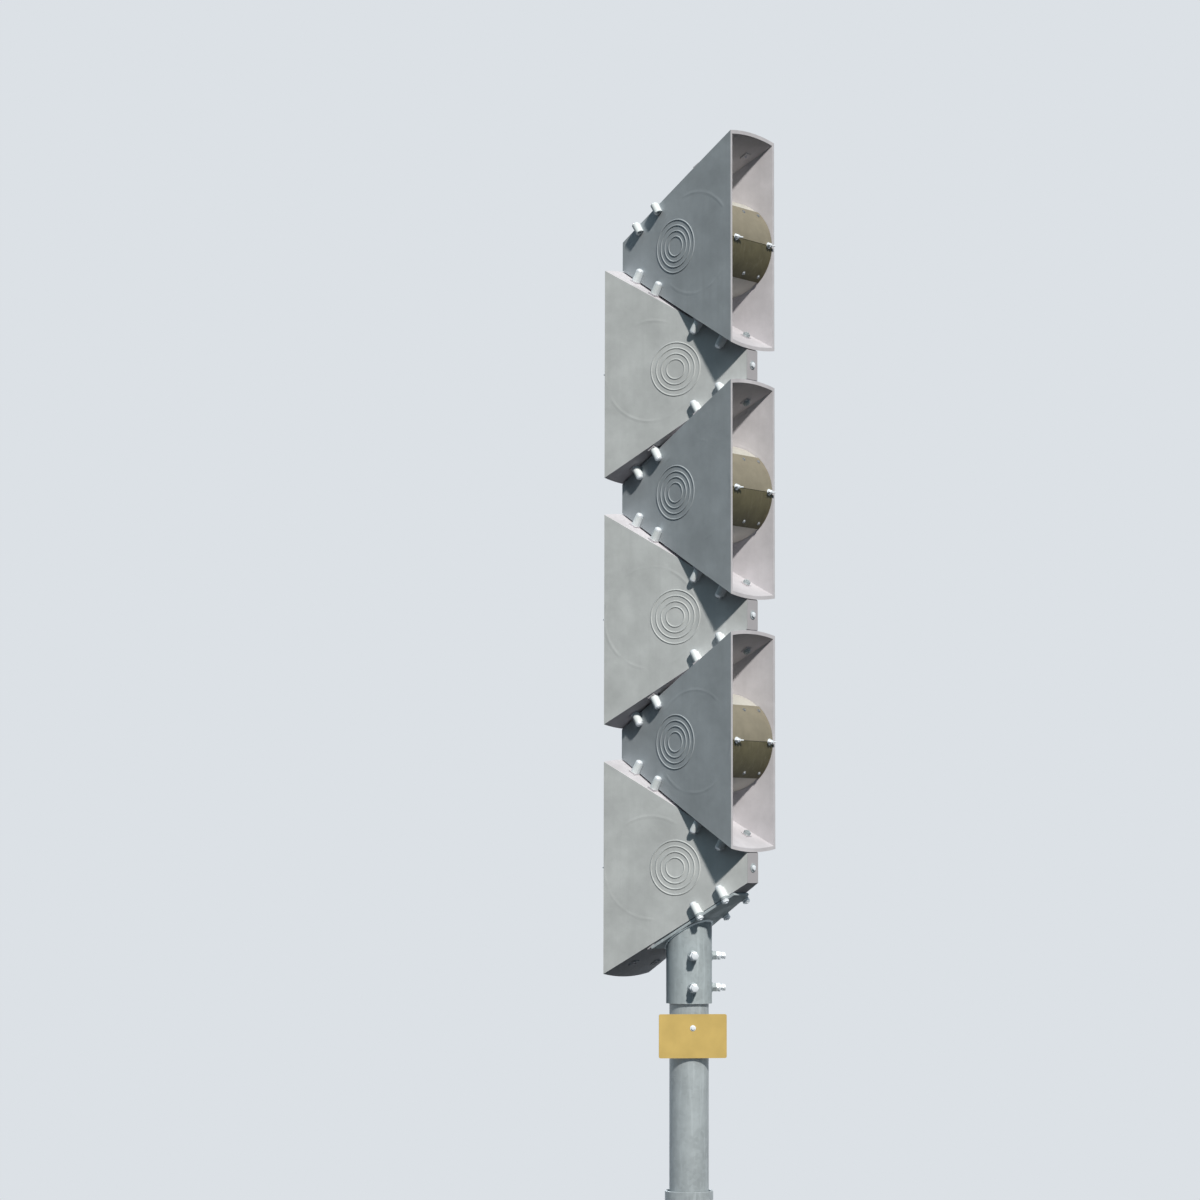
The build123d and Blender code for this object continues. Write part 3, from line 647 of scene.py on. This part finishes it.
def flanged(flats, low, high):
    """Hexagon that grows out of a round flange, from one height to another."""
    s = sizes()
    radius = s.flange / 2
    neck = low + s.flange_height
    flange = turned(
        [
            (0, low),
            (radius - 0.4 * MM, low),
            (radius, low + 0.4 * MM),
            (radius, low + 1.3 * MM),
            (radius - 0.6 * MM, low + 1.8 * MM),
            (flats * 0.52, neck),
            (0, neck),
        ],
        32,
    )
    return joined([flange, hexagon(flats, neck - 0.5 * MM, high)])


def dome(radius, height):
    """Low dome on a short straight rim, its base just above the XY plane."""
    rim = height * 0.28
    arc = [radians(15 * k) for k in range(6)]
    profile = [(0, CONTACT), (radius, CONTACT)]
    profile += [(radius * cos(a), rim + (height - rim) * sin(a)) for a in arc]
    return turned([*profile, (0, height)], 32)


def lug_cap():
    """Domed cap over the bolt's head under a lug, for a place with its origin on the lug's seat."""
    s = sizes()
    cap = dome(s.flange / 2, s.bolt_cap)
    bmesh.ops.rotate(cap, matrix=Matrix.Rotation(pi, 3, "X"), verts=cap.verts)
    bmesh.ops.translate(cap, vec=(0, 0, -LUG_LENGTH), verts=cap.verts)
    return cap


def lug_nut(low):
    """Flanged nut and threaded bolt end, so far beyond a lug's seat."""
    s = sizes()
    nut = flanged(s.bolt_flats, low, low + s.bolt_nut)
    tip = low + s.bolt_nut + s.bolt_end
    end = turned(thread_profile(s.bolt_diameter / 2, low, tip, s.thread_pitch), 18)
    return joined([nut, end])


def cast_ring(radius):
    """Raised ring with sloping flanks, on the plane of a wall."""
    s = sizes()
    w, h = s.ring_width, s.ring_height
    root = -1 * MM
    return turned(
        [
            (radius - w / 2, root),
            (radius - w / 2, h * 0.2),
            (radius - w * 0.2, h),
            (radius + w * 0.2, h),
            (radius + w / 2, h * 0.2),
            (radius + w / 2, root),
        ],
        64,
    )


class SIREN_OT_castings(bpy.types.Operator):
    """Paints the horn castings and adds the plain cast rings on each side wall"""

    bl_idname = "siren.castings"
    bl_label = "Horn castings"

    def execute(self, context):
        s = sizes()
        walls = [
            axes((0, side * half_width(0), 0), (1, side * SIDE_SLOPE, 0), (-SIDE_SLOPE, side, 0))
            for side in (-1, 1)
        ]
        for word, first, paint in (("right", 0, "odd_casting"), ("left", 1, "even_casting")):
            numbers = HORNS[first::2]
            for number in numbers:
                dress(f"horn_{number}", paint)
            rings = joined([cast_ring(s.ring_radius + step * s.ring_step) for step in range(RINGS)])
            places = [horn_matrix(number) @ wall for number in numbers for wall in walls]
            piece_from(copies(rings, places), f"cast_rings_{word}", paint, 60)
        return {"FINISHED"}


def cover_screw():
    """Pan-head screw with a socket, on its washer."""
    return turned_mm(
        [(6, -1), (6, 0.6), (4.4, 0.8), (4.2, 2.2), (3.4, 3.2), (1.6, 3.6), (1.2, 2.6), (0, 2.6)], 20
    )


def wing_nut():
    """Wing nut on its stud: flanged hub, two wings that rise outwards and a threaded end."""
    hub = turned_mm([(0, 0.2), (9.5, 0.2), (9.5, 1.4), (7.2, 1.6), (6.8, 8), (5.6, 9.8), (0, 9.8)])
    stud = turned(thread_profile(4 * MM, 9 * MM, 14 * MM, 1.25 * MM), 16)

    # Wings 14.5 mm long, 3.8 mm thick and 8.5 mm high
    wings = bmesh.new()
    for side in (-1, 1):
        bmesh.ops.create_cube(wings, size=1)
        wing = wings.verts[-8:]
        bmesh.ops.scale(wings, vec=(14.5 * MM, 3.8 * MM, 8.5 * MM), verts=wing)
        bmesh.ops.rotate(wings, matrix=Matrix.Rotation(-side * radians(34), 3, "Y"), verts=wing)
        bmesh.ops.translate(wings, vec=(side * 10.8 * MM, 0, 9 * MM), verts=wing)
    bmesh.ops.bevel(
        wings, geom=wings.edges[:], offset=1.4 * MM, affect="EDGES", segments=2, profile=0.5, material=-1
    )
    return joined([hub, stud, wings])


class SIREN_OT_drums(bpy.types.Operator):
    """Finishes the driver drums and their covers, with the covers' screws and the wing nuts"""

    bl_idname = "siren.drums"
    bl_label = "Drums and covers"

    def execute(self, context):
        screws, nuts = [], []
        for number in HORNS:
            dress(f"driver_housing_{number}", "drum")
            dress(f"driver_covers_{number}", "cover")
            horn = horn_matrix(number)
            for angle in map(radians, COVER_SCREW_ANGLES):
                normal = Vector((cos(angle), 0, sin(angle)))
                for y in COVER_SCREW_ROW:
                    origin = Vector((DRUM_X, y, 0)) + normal * DRUM_RADIUS
                    screws.append(horn @ axes(origin, (0, 1, 0), normal))
            for y in (-STUD_Y, STUD_Y):
                nuts.append(horn @ axes((DRUM_X + DRUM_RADIUS, y, 0), (0, 1, 0), (1, 0, 0)))
        piece_from(copies(cover_screw(), screws), "cover_screws", "dull")
        piece = piece_from(copies(wing_nut(), nuts), "cover_wing_nuts", "zinc")
        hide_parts("wing_nuts")
        return {"FINISHED"}


class SIREN_OT_column_bolts(bpy.types.Operator):
    """Capped bolts with flanged nuts in the lugs, plugs in the unused ones, and the lifting lug's finish"""

    bl_idname = "siren.column_bolts"
    bl_label = "Column bolts"

    def execute(self, context):
        s = sizes()
        for number in HORNS[:-1]:
            places = [horn_matrix(number) @ m for m in lug_places(False)]
            places += [horn_matrix(number + 1) @ m for m in lug_places(True)]
            seam = f"{number}_{number + 1}"
            piece = piece_from(copies(lug_cap(), places), f"bolt_caps_{seam}", "zinc")
            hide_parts(f"seam_bolts_{seam}")
            nut = lug_nut(PAD_DEPTH + 3 * CONTACT)
            piece_from(copies(nut, places), f"inner_nuts_{seam}", "patina")

        places = [horn_matrix(TOP_HORN) @ m for m in lug_places(True)]
        plug = dome(s.flange / 2 - 0.8 * MM, s.blind_plug)
        piece = piece_from(copies(plug, places), "lug_plugs", "zinc")
        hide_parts("top_bolts")

        places = [horn_matrix(LOWEST_HORN) @ m for m in lug_places(False)]
        low, high = on_slope("bracket_plate")
        bolt = joined([lug_cap(), lug_nut(high - low + 3 * CONTACT)])
        piece = piece_from(copies(bolt, places), "bolts_at_bracket", "zinc")
        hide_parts("bracket_bolts")
        dress("lifting_lug", "galvanised")
        dress("lifting_bolts", "zinc")
        return {"FINISHED"}


class SIREN_OT_plugs(bpy.types.Operator):
    """Drain plug with its washer in the middle of each rear wall"""

    bl_idname = "siren.plugs"
    bl_label = "Drain plugs"

    def execute(self, context):
        rear = axes((-AXIS_FROM_REAR - CONTACT, 0, 0), (0, 1, 0), (-1, 0, 0))
        places = [horn_matrix(number) @ rear for number in HORNS]
        washer = turned_mm([(0, 0), (12.8, 0), (13, 0.3), (13, 1.3), (12.6, 1.6), (0, 1.6)])
        head = hexagon(14 * MM, 1.5 * MM, 6.5 * MM)
        piece_from(copies(washer, places), "plug_washers", "galvanised")
        piece = piece_from(copies(head, places), "plug_heads", "zinc")
        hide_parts("rear_plugs")
        return {"FINISHED"}


def clamp_screw(radius):
    """Set screw along +X of a place on the axis of a tube: threaded shank, lock nut and head."""
    face = radius + WELD_NUT_HEIGHT

    # The thread ends in the head. Its pitch, 2 mm, is drawn 2.4 mm so that it shows.
    tip = face + SCREW_HEAD_LOW + 3.5 * MM
    profile = thread_profile(sizes().clamp_diameter / 2, radius - SCREW_INSIDE, tip, 2.4 * MM)
    screw = joined(
        [
            hexagon(LOCK_NUT_FLATS, face + CONTACT, face + LOCK_NUT_HEIGHT),
            turned(profile, 20),
            hexagon(SCREW_HEAD_FLATS, face + SCREW_HEAD_LOW, face + SCREW_HEAD_HIGH),
        ]
    )
    bmesh.ops.rotate(screw, matrix=Matrix.Rotation(pi / 2, 3, "Y"), verts=screw.verts)
    return screw


def bead_ring(radius, bead, steps):
    """Rippled weld bead round the Z axis."""
    bm = bmesh.new()
    made = bmesh.ops.create_circle(bm, cap_ends=False, segments=8, radius=bead)
    bmesh.ops.rotate(bm, matrix=Matrix.Rotation(pi / 2, 3, "X"), verts=made["verts"])
    bmesh.ops.translate(bm, vec=(radius, 0, 0), verts=made["verts"])
    section = bm.verts[:] + bm.edges[:]
    bmesh.ops.spin(
        bm, geom=section, axis=(0, 0, 1), cent=(0, 0, 0), angle=2 * pi, steps=steps, use_merge=True
    )

    # The angle in degrees, taken as radians, gives each step round the bead a swelling of its own
    for vert in bm.verts:
        out = Vector((vert.co.x, vert.co.y, 0)).normalized()
        centre = out * radius
        turn = degrees(asin(max(-1, min(1, out.y))))
        vert.co = centre + (vert.co - centre) * (1 + BEAD_SWELL * sin(turn * 1.9))
    bmesh.ops.recalc_face_normals(bm, faces=bm.faces)
    return bm


def bead_run(start, end, bead):
    """Straight weld bead between two points, rippled every 10 mm."""
    start, end = Vector(start), Vector(end)
    run = end - start
    bm = bmesh.new()
    bmesh.ops.create_cone(bm, cap_ends=True, segments=8, radius1=bead, radius2=bead, depth=run.length)
    along = [e for e in bm.edges if abs(e.verts[0].co.z - e.verts[1].co.z) > bead]
    cuts = max(1, int(run.length / (5 * MM)))
    bmesh.ops.subdivide_edges(bm, edges=along, cuts=cuts, use_grid_fill=True)
    for vert in bm.verts:
        swell = 1 + BEAD_SWELL * sin(vert.co.z / (1.6 * MM))
        vert.co.x *= swell
        vert.co.y *= swell
    turn = Vector((0, 0, 1)).rotation_difference(run).to_matrix()
    bmesh.ops.rotate(bm, matrix=turn, verts=bm.verts)
    bmesh.ops.translate(bm, vec=(start + end) / 2, verts=bm.verts)
    return bm


def nut_beads(radius, places):
    """Weld beads round the weld nuts of a tube's clamp screws."""
    on_tube = Matrix.Translation((radius, 0, 0)) @ Matrix.Rotation(pi / 2, 4, "Y")
    return copies(bead_ring(WELD_NUT_RADIUS, sizes().nut_bead, 36), [place @ on_tube for place in places])


def bracket_outline(low, high):
    """Points of the bracket plate on its own plane, X up the slope, from one end to the other and back.

    The plate follows the lowest casting and has a rounded ear round each bolt.
    """
    s = sizes()
    fall = -cos(SLOPE) * SIDE_SLOPE
    way = Vector((1, fall)).normalized()
    out = Vector((-way.y, way.x))

    def border(along):
        """Point of the plate's long edge."""
        return Vector((along, half_width(0) + s.plate_edge + along * fall))

    side = [border(low)]
    for station in reversed(LUG_STATIONS):
        centre = Vector((-station / cos(SLOPE), half_width(station) + LUG_SIDE_GAP))
        foot = centre - out * (centre - border(centre.x)).dot(out)
        arc = [pi - pi * k / 12 for k in range(13)]
        side.append(foot - way * s.plate_ear)
        side += [centre + (way * cos(a) + out * sin(a)) * s.plate_ear for a in arc]
        side.append(foot + way * s.plate_ear)
    side.append(border(high))
    return side + [Vector((p.x, -p.y)) for p in reversed(side)]


def cut_plate():
    """Steel plate under the lowest casting, cut to its outline, with an ear round each bolt."""
    under, over = on_slope("bracket_plate")
    thickness = over - under
    low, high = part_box("bracket_plate")
    points = bracket_outline(low.x / cos(SLOPE), (high.x - thickness * sin(SLOPE)) / cos(SLOPE))
    bm = bmesh.new()
    face = bm.faces.new([bm.verts.new((p.x, p.y, -thickness)) for p in points])
    made = bmesh.ops.extrude_face_region(bm, geom=[face], use_keep_orig=True)
    top = [item for item in made["geom"] if isinstance(item, bmesh.types.BMVert)]
    bmesh.ops.translate(bm, vec=(0, 0, thickness), verts=top)
    rims = [e for e in bm.edges if abs(e.verts[0].co.z - e.verts[1].co.z) < 1e-6]
    bmesh.ops.bevel(bm, geom=rims, offset=0.8 * MM, affect="EDGES", segments=2, profile=0.5, material=-1)
    bmesh.ops.recalc_face_normals(bm, faces=bm.faces)
    seat = horn_height(LOWEST_HORN) - SEAT_ON_AXIS - CONTACT / cos(SLOPE)
    place = axes((0, 0, seat), (cos(SLOPE), 0, sin(SLOPE)), SLOPE_NORMAL)
    bmesh.ops.transform(bm, matrix=place, verts=bm.verts)
    return bm


class SIREN_OT_bracket(bpy.types.Operator):
    """Bracket plate and sleeve, with the weld between them and the set screws"""

    bl_idname = "siren.bracket"
    bl_label = "Bracket and sleeve"

    def execute(self, context):
        dress("bracket_sleeve", "patina")
        piece = piece_from(cut_plate(), "bracket_plate_cut_to_shape", "patina")
        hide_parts("bracket_plate")
        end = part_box("bracket_sleeve")[0].z
        places = screw_places([end + row for row in SLEEVE_ROWS], SLEEVE_SCREW_ANGLES)
        screws = copies(clamp_screw(SLEEVE_RADIUS), places)
        piece = piece_from(screws, "sleeve_set_screws", "zinc")
        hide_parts("sleeve_screws")

        # The sleeve is cut off along the plate, so its bead leans with the plate, 1.5 mm under it
        bead = bead_ring(SLEEVE_RADIUS + BEAD_OFF, sizes().weld_bead, 96)
        lean = Matrix.Identity(4)
        lean[2][0] = tan(SLOPE)
        bmesh.ops.transform(bead, matrix=lean, verts=bead.verts)
        underside = on_slope("bracket_plate")[0] / cos(SLOPE)
        bmesh.ops.translate(bead, vec=(0, 0, underside - 1.5 * MM), verts=bead.verts)
        beads = joined([bead, nut_beads(SLEEVE_RADIUS, places)])
        piece_from(beads, "sleeve_welds", "weld", 60)
        return {"FINISHED"}


class SIREN_OT_notice(bpy.types.Operator):
    """Bare notice plate, its band round the mast and its screw"""

    bl_idname = "siren.notice"
    bl_label = "Notice plate"

    def execute(self, context):
        dress("notice_plate", "notice")
        dress("notice_band", "galvanised")
        low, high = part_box("notice_screw")
        away = Vector((cos(NOTICE_ANGLE), sin(NOTICE_ANGLE), 0))
        origin = away * max(v.co.dot(away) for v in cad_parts["notice_plate"].data.vertices)
        origin.z = (low.z + high.z) / 2
        screw = turned_mm([(8.5, 0.1), (8.5, 1.2), (6.4, 1.4), (6, 3.2), (4.6, 4.4), (0, 4.8)])
        head = copies(screw, [axes(origin, (0, 0, 1), away)])
        piece = piece_from(head, "notice_screw_head", "zinc")
        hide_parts("notice_screw")
        return {"FINISHED"}


def foot_beads():
    """Weld beads round the pole's foot, and along both sides of each gusset's foot and stem."""
    s = sizes()
    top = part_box("base_plate")[1].z
    level = top + BEAD_OFF
    stem = POLE_RADIUS + BEAD_OFF
    beads = [copies(bead_ring(stem, s.pole_bead, 120), [Matrix.Translation((0, 0, level))])]
    for quarter in range(4):
        turn = Matrix.Rotation(radians(90 * quarter), 4, "Z")
        for y in (-GUSSET_HALF_THICKNESS, GUSSET_HALF_THICKNESS):
            runs = (
                bead_run((POLE_RADIUS, y, level), (POLE_RADIUS + GUSSET_REACH, y, level), s.weld_bead),
                bead_run((stem, y, top), (stem, y, top + GUSSET_HEIGHT), s.weld_bead),
            )
            for run in runs:
                bmesh.ops.transform(run, matrix=turn, verts=run.verts)
                beads.append(run)
    return beads


class SIREN_OT_pole(bpy.types.Operator):
    """Mast, pole and foot, with their welds and clamp screws"""

    bl_idname = "siren.pole"
    bl_label = "Mast, pole and foot"

    def execute(self, context):
        tubes = ("mast_tube", "pole", "pole_door", "earth_lug", "centring_rings", "pole_weld_nuts")
        for node in (*tubes, "base_plate", "base_gussets"):
            dress(node, "galvanised")
        dress("pole_door_screws", "zinc")
        places = screw_places([POLE_HIGH.z - row for row in POLE_ROWS], POLE_SCREW_ANGLES)
        piece = piece_from(copies(clamp_screw(POLE_RADIUS), places), "pole_clamp_screws", "zinc")
        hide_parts("pole_screws")
        beads = joined([nut_beads(POLE_RADIUS, places), *foot_beads()])
        piece_from(beads, "pole_welds", "weld", 60)
        return {"FINISHED"}


# Studio

# Floor: its radius, how far it lies under the foot, and the share of its colour that it bounces
FLOOR_RADIUS = 12
FLOOR_DROP = 2 * MM
FLOOR_BOUNCE = 0.038

# Where the camera stands: how far from the horns' middle, how far below it, turned round it from -Y
CAMERA_DISTANCE = 9.7055
CAMERA_DROP = 0.9238
CAMERA_TURN = radians(35.526)

# Where it looks from there: to the side of the horns, upwards and rolled
CAMERA_SWING = radians(-1.543)
CAMERA_TILT = radians(4.684)
CAMERA_ROLL = radians(0.138)

# Ways from the object to its lamps, and the colours of their light and of the sky's
KEY_WAY = (0.640, -0.412, 0.648)
BACK_WAY = (-0.72, 0.45, 0.53)
KEY_TINT = (1.0, 0.965, 0.90)
BACK_TINT = (0.90, 0.95, 1.0)
SKY_TINT = (0.64, 0.86, 1.0, 1)

# Angle that the back lamp fills, and the height at which both lamps are drawn
BACK_ANGLE = radians(20)
LAMP_HEIGHT = 12


def studio_camera(lens):
    """Camera at the picture's place: level with the lowest horn, turned from -Y towards +X."""
    right_flat = Vector((cos(CAMERA_TURN), sin(CAMERA_TURN), 0))
    ahead_flat = Vector((-sin(CAMERA_TURN), cos(CAMERA_TURN), 0))
    right = right_flat * cos(CAMERA_SWING) - ahead_flat * sin(CAMERA_SWING)
    ahead = right_flat * sin(CAMERA_SWING) + ahead_flat * cos(CAMERA_SWING)
    up = Vector((0, 0, 1))
    forward = ahead * cos(CAMERA_TILT) + up * sin(CAMERA_TILT)
    upward = up * cos(CAMERA_TILT) - ahead * sin(CAMERA_TILT)
    camera_x = right * cos(CAMERA_ROLL) + upward * sin(CAMERA_ROLL)
    data = bpy.data.cameras.new("studio_camera")
    data.sensor_width = 36
    data.sensor_fit = "HORIZONTAL"
    data.lens = lens
    data.clip_end = 400
    camera = bpy.data.objects.new("studio_camera", data)
    place = Vector((0, 0, HEAD_CENTRE - CAMERA_DROP)) - ahead_flat * CAMERA_DISTANCE
    camera.matrix_world = axes(place, camera_x, -forward)
    bpy.context.scene.collection.objects.link(camera)
    bpy.context.scene.camera = camera


def seen_rays(tree):
    """1 for rays that show a surface or the background: straight, mirrored or through glass."""
    seen = add(tree, "ShaderNodeLightPath", output="Is Camera Ray")
    for kind in ("Is Glossy Ray", "Is Transmission Ray"):
        ray = add(tree, "ShaderNodeLightPath", output=kind)
        seen = add(tree, "ShaderNodeMath", {0: seen, 1: ray}, operation="MAXIMUM")
    return seen


def studio_floor(base):
    """Plain matt floor. It bounces little light, so that undersides stay in shade."""
    bm = bmesh.new()
    bmesh.ops.create_circle(bm, cap_ends=True, segments=96, radius=FLOOR_RADIUS)
    bmesh.ops.translate(bm, vec=(0, 0, -FLOOR_DROP), verts=bm.verts)
    mesh = bpy.data.meshes.new("studio_floor")
    bm.to_mesh(mesh)
    bm.free()
    material, tree, shader, _ = new_material("studio_floor")
    feed(tree, shader, {"Base Color": shade(base), "Roughness": 0.9})
    dim = add(tree, "ShaderNodeBsdfDiffuse", {"Color": shade(base, FLOOR_BOUNCE)})
    both = add(tree, "ShaderNodeMixShader", {0: seen_rays(tree), 1: dim, 2: shader.outputs[0]})
    feed(tree, tree.nodes["Material Output"], {"Surface": both})
    mesh.materials.append(material)
    floor = bpy.data.objects.new("studio_floor", mesh)
    bpy.context.scene.collection.objects.link(floor)


def studio_world(background, fill):
    """Pale background where it is seen, and a soft blue sky, dark below, where it lights."""
    world = bpy.data.worlds.new("studio")
    bpy.context.scene.world = world
    world.use_nodes = True
    tree = world.node_tree
    sky = tree.nodes["Background"]
    way = add(tree, "ShaderNodeTexCoord", output="Generated")
    up = add(tree, "ShaderNodeSeparateXYZ", {"Vector": way}, "Z")

    # Full from 27 degrees above the horizon, and nearly none from 3 degrees below it
    spread = {"Value": up, "From Min": -0.05, "From Max": 0.45, "To Min": fill * 0.02, "To Max": fill * 1.4}
    level = add(tree, "ShaderNodeMapRange", spread)
    feed(tree, sky, {"Color": SKY_TINT, "Strength": level})
    seen = add(tree, "ShaderNodeBackground", {"Color": shade(background), "Strength": 1.0})
    both = add(tree, "ShaderNodeMixShader", {0: seen_rays(tree), 1: sky.outputs[0], 2: seen})
    feed(tree, tree.nodes["World Output"], {"Surface": both})


def studio_lamp(name, strength, angle, tint, way):
    """Lamp with parallel light. way points from the object to the lamp."""
    data = bpy.data.lights.new(name, "SUN")
    data.energy = strength
    data.angle = angle
    data.color = tint
    lamp = bpy.data.objects.new(name, data)
    lamp.location = (0, 0, LAMP_HEIGHT)
    lamp.rotation_euler = Vector(way).to_track_quat("Z", "Y").to_euler()
    bpy.context.scene.collection.objects.link(lamp)


class SIREN_OT_studio(bpy.types.Operator):
    """Floor, background, key lamp, back lamp and camera"""

    bl_idname = "siren.studio"
    bl_label = "Studio"

    def execute(self, context):
        settings = context.scene.siren_studio
        context.scene.view_settings.view_transform = "Standard"
        studio_floor(colours().floor)
        studio_world(colours().sky, settings.fill)
        studio_lamp("key", settings.key, settings.key_angle, KEY_TINT, KEY_WAY)
        studio_lamp("back", settings.back, BACK_ANGLE, BACK_TINT, BACK_WAY)
        studio_camera(settings.lens)
        return {"FINISHED"}


class SIREN_PT_panel(bpy.types.Panel):
    """Lists the steps, sizes and colours of the siren tower"""

    bl_idname = "SIREN_PT_panel"
    bl_label = "Siren Tower"
    bl_space_type = "VIEW_3D"
    bl_region_type = "UI"
    bl_category = "Siren Tower"

    def draw(self, context):
        for step in STEPS:
            self.layout.operator(step.bl_idname)
        for group in (context.scene.siren_sizes, context.scene.siren_colours, context.scene.siren_studio):
            box = self.layout.box()
            for name in group.bl_rna.properties.keys():
                if name not in ("rna_type", "name"):
                    box.prop(group, name)


STEPS = (
    SIREN_OT_studio,
    SIREN_OT_castings,
    SIREN_OT_drums,
    SIREN_OT_column_bolts,
    SIREN_OT_plugs,
    SIREN_OT_bracket,
    SIREN_OT_notice,
    SIREN_OT_pole,
)
CLASSES = (SirenSizes, SirenColours, StudioSettings, *STEPS, SIREN_PT_panel)


def register():
    """Registers the classes and gives the scene its settings."""
    for item in CLASSES:
        bpy.utils.register_class(item)
    bpy.types.Scene.siren_sizes = PointerProperty(type=SirenSizes)
    bpy.types.Scene.siren_colours = PointerProperty(type=SirenColours)
    bpy.types.Scene.siren_studio = PointerProperty(type=StudioSettings)


def unregister():
    """Takes the settings and the classes away again."""
    del bpy.types.Scene.siren_studio
    del bpy.types.Scene.siren_colours
    del bpy.types.Scene.siren_sizes
    for item in reversed(CLASSES):
        bpy.utils.unregister_class(item)


def main():
    """Registers the classes and runs every step in order."""
    register()
    for step in STEPS:
        group, name = step.bl_idname.split(".")
        getattr(getattr(bpy.ops, group), name)()


if __name__ == "__main__":
    main()
